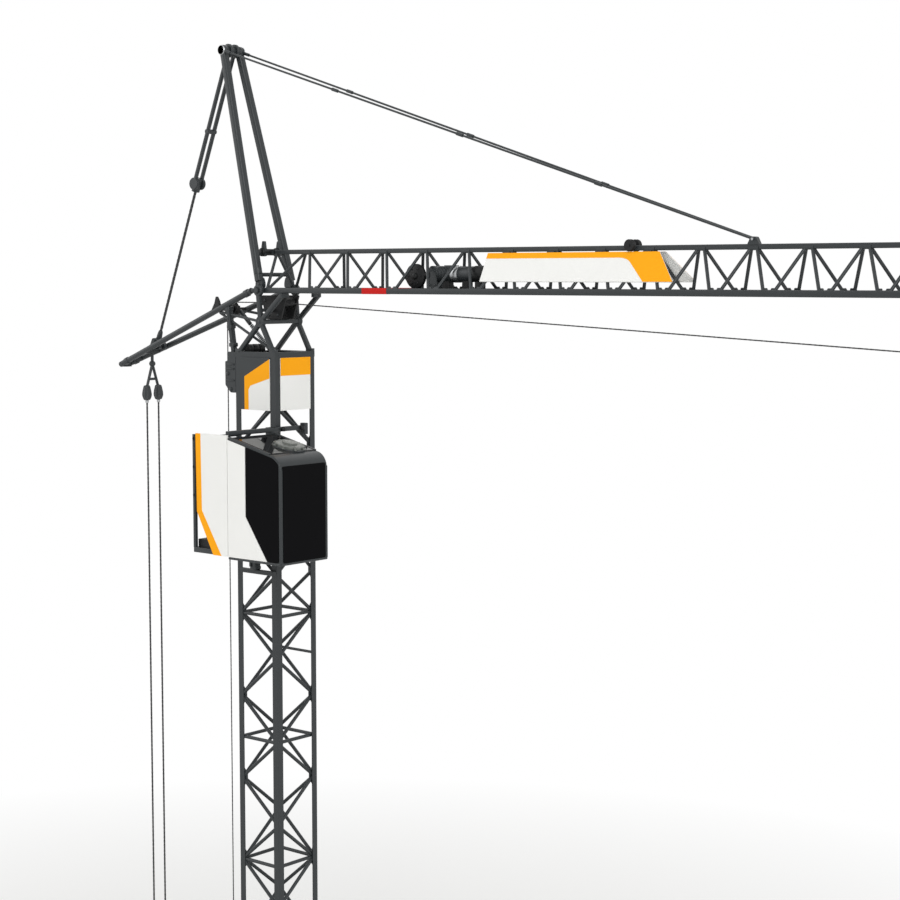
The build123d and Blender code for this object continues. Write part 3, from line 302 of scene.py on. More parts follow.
def carried(starts, ends, outline, side=None):
    """Straight bars: an outline set across each line at both of its ends, its first axis near side."""
    starts = np.atleast_2d(np.asarray(starts, float))
    ends = np.atleast_2d(np.asarray(ends, float))
    along = unit(ends - starts)
    if side is None:
        side = np.where(np.abs(along[:, 2:]) > 0.9, X, Z)
    side = np.broadcast_to(side, along.shape)
    first = unit(side - along * np.sum(side * along, axis=1, keepdims=True))
    second = np.cross(along, first)
    across = first[:, None] * outline[None, :, :1] + second[:, None] * outline[None, :, 1:]
    pairs = np.stack([starts[:, None] + across, ends[:, None] + across], axis=1)
    return merged([rings_to_shape(pair) for pair in pairs])


def round_bars(starts, ends, thick, steps):
    """Round bars: a circle carried along each line."""
    return carried(starts, ends, circle(thick / 2, steps))


def cross_bar(x, rise, half, thick, steps):
    """A round bar straight across the crane, from half on one side to half on the other."""
    return round_bars(at(x, -half, rise), at(x, half, rise), thick, steps)


def plate(outline, origin, first, rise):
    """A flat plate: an outline in the plane across rise, lifted by the vector rise."""
    origin = np.asarray(origin, float)
    return carried(origin, origin + rise, np.asarray(outline, float), np.asarray(first, float))


def side_plate(points, one, other):
    """A plate in the plane of the jib: points from tower axis and pivot, between two places across."""
    near, far = min(one, other), max(one, other)
    return plate(np.asarray(points) + [TOWER_X, PIVOT_Z], (0, far, 0), X, (0, near - far, 0))


def side_plates(points, inner, outer):
    """Two such plates, the second mirrored to the other side."""
    return [side_plate(points, side * inner, side * outer) for side in BOTH]


def box(lo, hi, corner=0.0):
    """A block between two corners whose upright edges are round."""
    lo, hi = np.minimum(lo, hi), np.maximum(lo, hi)
    middle = (lo + hi) / 2
    wide, deep = (hi - lo)[:2]
    steps = 4 if corner else 1
    foot = np.array([middle[0], middle[1], lo[2]])
    return plate(rounded(wide, deep, corner, steps), foot, X, (0, 0, hi[2] - lo[2]))


def near_box(x0, x1, y0, y1, rise0, rise1, corner=0.0):
    """A block given from the tower axis and the pivot height."""
    return box(at(x0, y0, rise0), at(x1, y1, rise1), corner)


def turned(profile, centre, axis, steps, ring=False):
    """A turned shape: each profile point (distance, place along) runs round the axis."""
    axis = unit(axis)
    first = unit(np.cross(axis, X if abs(axis[0]) < 0.9 else Z))
    second = np.cross(axis, first)
    turn = np.arange(steps) * (2 * np.pi / steps)
    spokes = np.cos(turn)[:, None] * first + np.sin(turn)[:, None] * second
    profile = np.asarray(profile, float)
    rows = profile[:, None, :1] * spokes[None] + profile[:, None, 1:] * axis
    return rings_to_shape(np.asarray(centre, float) + rows, closed_rings=ring)


def sheave(radius, lip, width, centre, steps):
    """A rope wheel: a turned profile with a round groove between two lips and a raised hub."""
    half = width / 2
    turn = np.linspace(-1, 1, 9)
    groove = np.stack([radius + lip * (1 - np.cos(turn * np.pi / 2)), turn * half * 0.7], axis=1)
    hub = radius * 0.36
    left = [[hub * 0.6, -half * 1.1], [hub, -half * 1.1], [hub, -half * 0.7], [radius * 0.8, -half * 0.7],
            [radius * 0.84, -half], [radius + lip, -half]]
    right = np.array(left)[::-1] * ENDWISE
    return turned(np.concatenate([left, groove, right]), centre, Y, steps)


def dome(centre, axis, radius, height, steps=12):
    """A bolt head: a short turned cylinder whose top edge is a quarter ellipse."""
    turn = np.linspace(0, np.pi / 2 * 0.85, 4)
    cap = np.stack([radius * np.cos(turn), height * (0.4 + 0.6 * np.sin(turn))], axis=1)
    return turned(np.concatenate([[[radius, 0.0]], cap]), centre, axis, steps)


def domes(centres, axis, radius, height, steps=12):
    """Like bolt heads at several places."""
    return merged([dome(c, axis, radius, height, steps) for c in np.atleast_2d(centres)])


def laid_rope(start, end, thick, lay, strands=6, sides=5, steps=8):
    """A laid rope: strands that touch, each a circle carried on a helix about a straight core."""
    start = np.asarray(start, float)
    run = np.asarray(end, float) - start
    length = np.linalg.norm(run)
    along = run / length
    first = unit(np.cross(along, Y if abs(along[1]) < 0.9 else X))
    second = np.cross(along, first)
    share = np.sin(np.pi / strands)
    strand = thick / 2 * share / (1 + share)
    offset = thick / 2 - strand
    place = np.linspace(0, length, max(int(length / lay * steps), 6))
    ring = circle(strand, sides)
    shapes = [round_bars(start, end, offset * 2, 6)]
    for k in range(strands):
        turn = 2 * np.pi * (place / lay + k / strands)
        out = np.cos(turn)[:, None] * first + np.sin(turn)[:, None] * second
        tangent = -np.sin(turn)[:, None] * first + np.cos(turn)[:, None] * second
        tangent = unit(along + tangent * (2 * np.pi * offset / lay))
        across = np.cross(tangent, out)
        middle = start + place[:, None] * along + out * offset
        rings = middle[:, None] + out[:, None] * ring[None, :, :1] + across[:, None] * ring[None, :, 1:]
        shapes.append(rings_to_shape(rings))
    return merged(shapes)


def wound_drum(radius, half, wire, centre, steps):
    """A wound drum: its profile is the drum's line plus a half-wave for each turn of rope."""
    turns = int(2 * half / wire)
    place = np.linspace(-half, half, turns * 5 + 1)
    swell = np.abs(np.sin((place + half) / (2 * half) * turns * np.pi)) * wire / 2
    return turned(np.stack([radius + swell, place], axis=1), centre, Y, steps)


# materials
def add(tree, kind, sockets=(), **settings):
    """Adds one node: settings go on the node, and a socket gets a value or a link."""
    made = tree.nodes.new(kind)
    for key, value in settings.items():
        setattr(made, key, value)
    for key, value in dict(sockets).items():
        if isinstance(value, bpy.types.NodeSocket):
            tree.links.new(value, made.inputs[key])
        else:
            made.inputs[key].default_value = value
    return made


def shade(rgb, factor):
    """A colour made lighter or darker, with full opacity."""
    return tuple(min(1.0, c * factor) for c in rgb) + (1.0,)


def surface(name, rgb, patch, spread, rough, grain, bump, **fixed):
    """A sprayed, moulded or printed surface: two noises, one for tone and gloss, one for its grain."""
    found = bpy.data.materials.get(name)
    if found:
        return found
    made = bpy.data.materials.new(name)
    made.use_nodes = True
    tree = made.node_tree
    tree.nodes.clear()
    place = add(tree, "ShaderNodeTexCoord").outputs["Object"]
    tone = add(tree, "ShaderNodeTexNoise", {"Vector": place, "Scale": 1 / (patch * MM), "Detail": 4.0})
    fine = add(tree, "ShaderNodeTexNoise", {"Vector": place, "Scale": 1 / (grain * MM), "Detail": 2.0})
    mixed = add(tree, "ShaderNodeMix", {0: tone.outputs["Fac"], 6: shade(rgb, 1 - spread),
                                        7: shade(rgb, 1 + spread)}, data_type="RGBA")
    gloss = add(tree, "ShaderNodeMapRange", {"Value": tone.outputs["Fac"], "From Min": 0.3,
                                             "From Max": 0.7, "To Min": rough[0], "To Max": rough[1]})
    lift = add(tree, "ShaderNodeBump", {"Height": fine.outputs["Fac"], "Strength": bump,
                                        "Distance": 0.05 * MM})
    sockets = {"Base Color": mixed.outputs[2], "Roughness": gloss.outputs["Result"],
               "Normal": lift.outputs["Normal"]}
    sockets.update({key.replace("_", " "): value for key, value in fixed.items()})
    shader = add(tree, "ShaderNodeBsdfPrincipled", sockets)
    add(tree, "ShaderNodeOutputMaterial", {"Surface": shader.outputs["BSDF"]})
    return made


def finishes():
    """All finishes of the model, each named as a maker would, with patch and grain in millimetres."""
    c = bpy.context.scene.crane_colours
    made = {}
    # Satin lacquer sprayed on die-cast zinc: soft wide highlights and a faint orange peel.
    # The peel of 0.3 mm is drawn at 0.9 mm, so that it shows.
    made["paint"] = surface("satin_lacquer_on_die_cast_zinc", c.paint, patch=14, spread=0.07,
                            rough=(0.36, 0.5), grain=0.9, bump=0.25, IOR=1.42)
    # Smooth lacquered plastic of the cab: the same grey, a little glossier, with hardly any peel.
    made["cab"] = surface("lacquered_abs_cab_shell", c.paint, patch=18, spread=0.05,
                          rough=(0.28, 0.4), grain=1.2, bump=0.12, IOR=1.42)
    # White ABS sheet with a clear print coat: even, bright, with a soft sheen.
    made["white"] = surface("white_abs_panel_print_coated", c.white, patch=22, spread=0.02,
                            rough=(0.3, 0.4), grain=1.5, bump=0.06, IOR=1.46)
    # Pad-printed ink: an even film, slightly duller than the panel, with faint streaks.
    made["orange"] = surface("pad_printed_orange_ink", c.orange, patch=9, spread=0.03,
                             rough=(0.42, 0.52), grain=1.0, bump=0.08, IOR=1.2)
    made["red"] = surface("pad_printed_red_ink", c.red, patch=6, spread=0.05,
                          rough=(0.42, 0.52), grain=1.0, bump=0.08, IOR=1.2)
    # Gloss black print over smooth plastic: a deep mirror with slight waves.
    made["glass"] = surface("gloss_black_window_print", c.glass, patch=16, spread=0.1,
                            rough=(0.1, 0.18), grain=7.0, bump=0.05, IOR=1.12)
    # Polished black acrylic of the roof light: flat and clear, so the panel above it shows as in a mirror.
    made["skylight"] = surface("polished_black_acrylic_roof_light", c.glass, patch=20, spread=0.1,
                               rough=(0.03, 0.06), grain=9.0, bump=0.01, IOR=1.49)
    # Smoke-grey acrylic of the roof hatch: paler than the roof, with clear bright edges.
    made["hatch"] = surface("smoke_grey_acrylic_hatch", c.hatch, patch=12, spread=0.06,
                            rough=(0.1, 0.18), grain=5.0, bump=0.03, IOR=1.49)
    # Moulded black nylon: fine eroded grain and a dull sheen.
    made["plastic"] = surface("moulded_black_nylon", c.plastic, patch=6, spread=0.15,
                              rough=(0.42, 0.58), grain=0.6, bump=0.3, IOR=1.35)
    # Waxed polyester thread: dull, with lighter fibres along its strands.
    made["thread"] = surface("waxed_polyester_thread", c.thread, patch=1.2, spread=0.22,
                             rough=(0.6, 0.8), grain=0.4, bump=0.5, IOR=1.5, Sheen_Weight=0.2)
    # Cast ballast painted grey: chalky, with a pebbled face. Pits of 0.4 mm are drawn at 1.1 mm.
    made["ballast"] = surface("painted_cast_ballast", c.ballast, patch=5, spread=0.12,
                              rough=(0.62, 0.8), grain=1.1, bump=0.6, IOR=1.5)
    # Zinc-plated steel pins and bolts: grey metal with soft reflections.
    made["pin"] = surface("zinc_plated_steel_pins", c.pin, patch=2.5, spread=0.08,
                          rough=(0.3, 0.44), grain=0.5, bump=0.1, Metallic=1.0)
    return made


def finish_piece(name, looks, body, nodes, bevel=0.0):
    """Makes one piece from its shapes, listed by finish, in metres, riding on its body."""
    made_finishes = finishes()
    points, faces = merged([shape for shapes in looks.values() for shape in shapes])
    counts = [sum(len(shape[1]) for shape in shapes) for shapes in looks.values()]
    mesh = bpy.data.meshes.new(name)
    mesh.from_pydata((points * MM).tolist(), [], faces)
    mesh.polygons.foreach_set("material_index", np.repeat(np.arange(len(looks), dtype=np.int32), counts))
    for look in looks:
        mesh.materials.append(made_finishes[look])
    mesh.shade_smooth()
    mesh.set_sharp_from_angle(angle=math.radians(SMOOTH_ANGLE))
    mesh.update()
    if mesh.validate():
        raise RuntimeError("the mesh of " + name + " had faults")
    made = bpy.data.objects.new(name, mesh)
    bpy.context.scene.collection.objects.link(made)
    if bevel:
        soft = made.modifiers.new("edge", "BEVEL")
        soft.width = bevel * MM
        soft.segments = 2
        soft.limit_method = "ANGLE"
        soft.angle_limit = math.radians(BEVEL_ANGLE)
        soft.harden_normals = True
    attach(made, body)
    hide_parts(*nodes)
    return made


# pieces, group by group
class CRANE_OT_base(Operator):
    """Cross-shaped base with pads, hub and spigot"""
    bl_idname = "crane.base"
    bl_label = "Base cross"

    def execute(self, context):
        steps = sizes()["wheel_steps"]
        root, reach, middle = 10.0, 67.0, 4.45
        bolt_place, bolt_side, arm_top, pad_top = 24.0, 3.2, 9.0, 8.2
        arm_line = rounded(8.8, 11.0, 1.4)
        pad_line = [[8.2, 0], [9, 0.8], [9, 7.6], [8.4, 8.6], [6, 9.0], [2.6, 9.0], [2.6, pad_top]]
        hub_line = [[18.4, 0], [19, 0.7], [19, 11.4], [18.2, 12.4], [17, 13], [5, 13], [5, 16.0], [4.6, 16.4]]
        steel, bolts = [], []
        for turn in np.radians((45, 135, 225, 315)):
            out = np.array([np.cos(turn), np.sin(turn), 0])
            side = np.cross(Z, out) * bolt_side
            steel.append(carried(out * root + Z * middle, out * reach + Z * middle, arm_line, Z))
            steel.append(turned(pad_line, out * reach, Z, steps))
            spot = out * bolt_place + Z * arm_top
            bolts.append(domes([spot + side, spot - side, out * reach + Z * pad_top], Z, 1.3, 0.9))
        steel.append(turned(hub_line, (0, 0, 0), Z, steps))
        finish_piece("base_cross_frame", dict(paint=steel, pin=bolts), "undercarriage",
                     ["base_cross"])
        return {"FINISHED"}


class CRANE_OT_deck(Operator):
    """Slewing ring, turning deck, ballast and hoist winch"""
    bl_idname = "crane.deck"
    bl_label = "Deck and ballast"

    def execute(self, context):
        s = sizes()
        steps = s["wheel_steps"]
        level, bolt_circle, bolt_count = 15.2, 19.4045, 20
        ring = turned(rim(5.3, 19.4, 20.0, 1.8, 1.2), Z * level, Z, steps, ring=True)
        spokes = np.column_stack([circle(1.0, bolt_count), np.zeros(bolt_count)])
        heads = [dome(out * bolt_circle + Z * level, out, 0.8, 0.55, 8) for out in spokes]
        finish_piece("slewing_ring_bolted", dict(paint=[ring], pin=heads), "superstructure",
                     ["slewing_ring"])
        rear, front, half, under = -58.0, 37.0, 22.0, 19.0
        seat = DECK_TOP - 0.1
        deck = [box((rear, -half, under), (front, half, DECK_TOP), 2.5)]
        for side in BOTH:
            deck.append(box((rear + 0.4, side * 10, 17), (front - 0.4, side * 16, under + 0.2), 0.5))
            deck.append(box((-54, side * 20.4, seat), (10, side * 21.6, DECK_TOP + 1.0), 0.3))
            deck += [box((x, side * 14, seat), (x + 1.0, side * 19, DECK_TOP + 0.25), 0.3)
                     for x in np.arange(-12, 10, 3.2)]
        finish_piece("slewing_deck", dict(paint=deck), "superstructure", ["slewing_platform"],
                     s["edge"] * 2)
        rear, front, half, high, pitch = -49.0, -17.0, 20.0, 11.0, 11.6
        lath_places, lath_half = (-12.0, 12.0), 1.6
        slabs = []
        for low in DECK_TOP + pitch * np.arange(3):
            slabs.append(box((rear, -half, low), (front, half, low + high), 1.2))
            slabs += [box((rear, y - lath_half, low + high), (front, y + lath_half, low + pitch), 0.3)
                      for y in lath_places]
        loop = circle(0.45, 10) + [1.5, 0]
        eyes = [turned(loop, (-33, y, DECK_TOP + 34.2), X, 24, ring=True) for y in lath_places]
        finish_piece("ballast_blocks", dict(ballast=slabs, pin=eyes), "superstructure",
                     ["ballast_slabs"], s["edge"] * 3)
        centre = np.array([-3.1, 0, WINCH_Z])
        drum = wound_drum(3.75, 8.9, 0.5, centre, steps)
        steel, hubs = [], []
        for side in BOTH:
            steel.append(turned(rim(1.0, 5.6, 6.0, 0.8, 0.4), centre + Y * side * 9, Y, steps))
            steel.append(box(centre + (-4, side * 9.8, -7), centre + (4, side * 11.4, 4), 0.6))
            hubs.append(dome(centre + Y * side * 11.3, Y * side, 1.7, 0.8))
        finish_piece("deck_hoist_winch", dict(thread=[drum], paint=steel, pin=hubs), "superstructure",
                     ["hoist_winch"])
        return {"FINISHED"}


def zigzag(count, flipped):
    """Sides of a face's nodes: they change from node to node, and the flipped range swaps them."""
    k = np.arange(count)
    turned_over = (k >= flipped[0]) & (k < flipped[1])
    return np.where(k % 2 == 0, -1.0, 1.0) * np.where(turned_over, -1.0, 1.0)


def face_points(face, k, z):
    """Points of a tower face: k runs from one post to the other as -1 to 1, and z is the height."""
    out, run, depth = face
    return X * TOWER_X + out * depth + np.outer(k, run) * POST_HALF + np.outer(z, Z)


def tower_face(face, flipped, thick, steps):
    """One tower face: a zigzag over half bays, level bars at the rings, and a waisted plate at each node."""
    out, run = face[:2]
    k = zigzag(HALF_BAYS + 1, flipped)
    high = NODE_TOP - HALF_BAY * np.arange(HALF_BAYS + 1)
    level = NODE_TOP - RING_STEP * np.arange(RINGS)
    ones = np.ones(RINGS)
    starts = np.concatenate([face_points(face, k[:-1], high[:-1]), face_points(face, -ones, level)])
    ends = np.concatenate([face_points(face, -k[:-1], high[1:]), face_points(face, ones, level)])
    shapes = [round_bars(starts, ends, thick, steps)]
    web = [[-0.9, -3.6], [0.1, -2.2], [0.8, -1.1], [0.8, 1.1], [0.1, 2.2], [-0.9, 3.6]]
    inward, lift = 1.6, out * 0.5
    for centre, sign in zip(face_points(face, k, high)[1:-1], k[1:-1]):
        into = run * -sign
        shapes.append(plate(web, centre + into * inward - lift / 2, into, lift))
    return shapes


class CRANE_OT_tower(Operator):
    """Lattice tower: angle posts, lacing bars, web plates and the top frame"""
    bl_idname = "crane.tower"
    bl_label = "Tower"

    def execute(self, context):
        s = sizes()
        lace, steps = s["lace"], s["bar_steps"]
        pad_half, pad_high, bolt_place = 3.0, 1.2, 2.1
        # quarter turns of the angle section at the rear and the front post, for each side
        quarters = {-1: (0, 1), 1: (3, 2)}
        for name, side in SIDES:
            face = (Y * side, -X * side, POST_HALF)
            steel = tower_face(face, TURNED_LACING if side > 0 else PLAIN_LACING, lace, steps)
            if side > 0:
                rung = face_points(face, (-1, 1), np.full(2, NODE_TOP - HALF_BAY * EXTRA_RUNG))
                steel.append(round_bars(rung[0], rung[1], lace * 0.8, steps))
            bolts = []
            for end, quarter in zip(BOTH, quarters[side]):
                heel = np.array([TOWER_X + end * POST_OUT, side * POST_OUT, DECK_TOP])
                foot = np.array([TOWER_X + end * POST_HALF, side * POST_HALF, DECK_TOP])
                section = angle_section(s["angle_leg"], s["angle_wall"], quarter)
                steel.append(carried(heel, heel + Z * (POST_TOP - DECK_TOP), section, X))
                steel.append(box(foot - (pad_half, pad_half, 0), foot + (pad_half, pad_half, pad_high), 0.8))
                spots = [foot + (a * bolt_place, b * bolt_place, pad_high) for b in BOTH for a in BOTH]
                bolts.append(domes(spots, Z, 0.6, 0.6, 8))
            finish_piece("tower_" + name + "_face", dict(paint=steel, pin=bolts), "superstructure",
                         ["tower_" + name + "_side"])
        inset = POST_OUT - s["angle_wall"] - lace / 2
        for name, end in (("front", 1), ("rear", -1)):
            steel = tower_face((X * end, -Y * end, inset), PLAIN_LACING, lace, steps)
            finish_piece("tower_" + name + "_face", dict(paint=steel), "superstructure",
                         ["tower_" + name + "_lacing"])
        tall = (RING_TOP - POST_TOP) / 2
        lip, leg, wall = tall - 0.5, -1.8, -0.55
        channel = np.array([[0, -tall], [0, tall], [leg, tall], [leg, lip], [wall, lip], [wall, -lip],
                            [leg, -lip], [leg, -tall]])
        middle = np.array([TOWER_X, 0, (POST_TOP + RING_TOP) / 2])
        between = POST_IN - 0.01
        steel = []
        for out, reach in ((X, between), (-X, between), (Y, POST_OUT), (-Y, POST_OUT)):
            edge = middle + out * POST_OUT
            run = np.cross(Z, out) * reach
            steel.append(carried(edge - run, edge + run, channel, out))
        inner = np.array([POST_IN - 0.4, POST_IN + 0.03, 0])
        outer = np.array([POST_OUT - 0.03, POST_OUT - 0.2, 0])
        for corner in [np.array([end, side, 0]) for end in BOTH for side in BOTH]:
            steel.append(box(inner * corner + (TOWER_X, 0, POST_TOP + 0.06),
                             outer * corner + (TOWER_X, 0, RING_TOP - 0.06), 0.1))
        tray, tray_rear = -26.55, -7.4
        steel.append(near_box(tray_rear, -2.6, -POST_IN, POST_IN, tray, tray + 1.2, 0.3))
        steel.append(near_box(-POST_IN, tray_rear + 0.4, -LEG_IN, 1.0, tray + 0.6, tray + 1.4, 0.3))
        rollers = [turned(rim(0.6, 1.7, 1.95, 1.3, 1.0), at(tray_rear - 0.2, y, tray + 3.1), Y, 20)
                   for y in (-7.0, -3.9, -0.8)]
        finish_piece("tower_top_frame", dict(paint=steel, plastic=rollers), "superstructure",
                     ["tower_top_ring"])
        return {"FINISHED"}


class CRANE_OT_head(Operator):
    """Tower head: side frames, pivot pin, cross ties and the rope sheave"""
    bl_idname = "crane.head"
    bl_label = "Tower head"

    def execute(self, context):
        s = sizes()
        steps = s["wheel_steps"] // 2
        low, bar_deep, foot_x, neck = RING_TOP - PIVOT_Z, 1.8, 9.6, -1.6
        rest_x, rest_rise = (REST_REAR + REST_FRONT) / 2, (REST_LOW + REST_HIGH) / 2
        steel = []
        for side in BOTH:
            y = side * POST_HALF
            knee = at(HEAD_X, y, KNEE)
            # each bar is a little slimmer than the one before, so that no two faces lie in one plane
            bars = ((at(-POST_IN, y, low), knee, 1.8), (at(POST_IN, y, low), knee, 1.76),
                    (knee, at(PIVOT_X, y, neck), 1.72), (knee, at(rest_x, y, rest_rise), 1.68))
            for start, end, thick in bars:
                steel.append(carried(start, end, rounded(thick, bar_deep, s["corner"]), Y))
            steel.append(turned(rim(0.63, 2.0, 2.3, 0.9, 0.6), at(PIVOT_X, y, 0), Y, steps, ring=True))
            steel.append(turned(rim(0.5, 2.0, 2.3, 0.97, 0.6), knee, Y, steps))
            steel.append(near_box(REST_REAR, REST_FRONT, y - 0.93, y + 0.93, REST_LOW, REST_HIGH, 0.3))
            for x in (-foot_x, foot_x):
                steel.append(near_box(x - 1.8, x + 1.8, y - 0.85, y + 0.85, low, low + 1.1, 0.3))
            steel.append(dome(knee + Y * side * 0.9, Y * side, 0.8, 0.3))
        finish_piece("tower_head_frames", dict(paint=steel), "superstructure", ["tower_head"])
        nut_line = [[0.3, 0], [1.1, 0], [1.25, 0.2], [1.25, 0.7], [1.0, 0.9], [0.3, 0.9]]
        pin = [cross_bar(PIVOT_X, 0, POST_OUT, 1.2, 20)]
        pin += [turned(nut_line, at(PIVOT_X, side * (POST_OUT - 0.05), 0), Y * side, 6) for side in BOTH]
        finish_piece("jib_pivot_pin", dict(paint=pin), "superstructure", ["pivot_pin"])
        beam_line = rounded(1.8, 3.6, 0.4)
        steel = [carried(at(HEAD_X, -POST_IN, KNEE), at(HEAD_X, POST_IN, KNEE), beam_line, Z)]
        steel += [near_box(REST_REAR, REST_FRONT, side * 6.95, side * POST_IN, REST_LOW, REST_HIGH, 0.2)
                  for side in BOTH]
        cheek_low = KNEE + 0.9
        cheek = softened([(-4.0, -2.0), (-0.8, cheek_low), (7.2, cheek_low), (10.4, -2.0)], 0.7)
        black = side_plates(cheek, 3.0, 3.8)
        black.append(turned(rim(0.6, 1.6, 1.8, 2.6, 2.4), at(7.4, 0, -4.6), Y, 28))
        for side in BOTH:
            spots = at([-1.6, 7.6, 0.6, 5.6], side * 3.75, [-4.0, -4.0, -9.8, -9.8])
            steel.append(domes(spots, Y * side, 0.55, 0.4, 10))
        finish_piece("head_cross_ties", dict(paint=steel, plastic=black), "superstructure",
                     ["head_ties"])
        centre = at(HEAD_SHEAVE_X, 0, SHEAVE_Z)
        wheel = sheave(SHEAVE_RADIUS, SHEAVE_LIP, SHEAVE_WIDTH, centre, s["wheel_steps"])
        shaft = cross_bar(HEAD_SHEAVE_X, SHEAVE_Z, POST_IN, SHEAVE_SHAFT, 16)
        finish_piece("head_rope_sheave", dict(plastic=[wheel], paint=[shaft]), "superstructure",
                     ["head_sheave"])
        return {"FINISHED"}


class CRANE_OT_signs(Operator):
    """Sign panels and gear box on the tower"""
    bl_idname = "crane.signs"
    bl_label = "Tower panels"

    def execute(self, context):
        s = sizes()
        high, low, seam = -26.56, -47.4, -5.8
        back = POST_HALF + 0.65
        cover = back + 0.6
        front = cover - s["print_rise"]
        rivet_face = back + 0.52
        slant = [(LEG_IN, -27.0), (seam, -34.2)]
        field = [(seam, low), (LEG_IN, low)] + slant
        band = [(seam, low), (-3.5, low), (-3.5, -39.4), (-2.4, -37.8), (LEG_IN, -34.6)] + slant
        corner = [(-LEG_IN, low), (seam, low)] + slant[::-1] + [(LEG_IN, high), (-LEG_IN, high)]
        white = side_plates(field, back, front)
        white.append(near_box(back, front, -LEG_IN, LEG_IN, low, high, 0.05))
        for side in BOTH:
            white.append(domes(at(7.6, side * rivet_face, [-46.6, -36.0]), Y * side, 0.3, 0.2, 8))
        white.append(domes(at(rivet_face, [-7.6, 7.6], -46.6), X, 0.3, 0.2, 8))
        orange = side_plates(band, front - 0.01, cover - 0.01)
        orange.append(near_box(front - 0.01, cover, -LEG_IN, LEG_IN, -33.6, high))
        dark = side_plates(corner, back, cover)
        finish_piece("tower_sign_boards", dict(white=white, orange=orange, paint=dark), "superstructure",
                     ["tower_sign_panels"])
        rear, front, step = -POST_OUT - 6.0, -POST_OUT, -16.0
        top, shoulder, low = -24.6, -28.4, -41.0
        case_line = softened([(rear, shoulder), (rear, -38.0), (rear + 3.0, low), (front, low), (front, top),
                              (step, top), (step, shoulder)], 0.5)
        case = [side_plate(case_line, -POST_OUT, -2.2)]
        case += [near_box(rear + 0.8, front - 0.8, -11.6, -11.1, z, z + 0.7, 0.2)
                 for z in (-30.0, -31.8, -36.4)]
        case += [near_box(rear - 0.6, rear + 0.2, -10.4, -3.0, z, z + 0.8, 0.2) for z in (-29.8, -31.8)]
        stubs = np.array([-25.4, -26.9])
        case.append(round_bars(at(-17.1, -9.4, stubs), at(-15.6, -9.4, stubs), 0.8, 12))
        case.append(domes(at([rear + 1.6, rear + 3.2], -POST_OUT, [-33.4, -39.6]), -Y, 0.8, 0.5))
        finish_piece("strut_gear_box", dict(paint=case), "superstructure", ["gear_box"],
                     s["edge"])
        return {"FINISHED"}


def strut_line(x):
    """Height and half spread of the rear strut: both are straight lines from its root to its tip."""
    share = (x - ROOT_X) / (TIP_X - ROOT_X)
    return ROOT_Z + (TIP_Z - ROOT_Z) * share, POST_HALF + (TIP_HALF - POST_HALF) * share


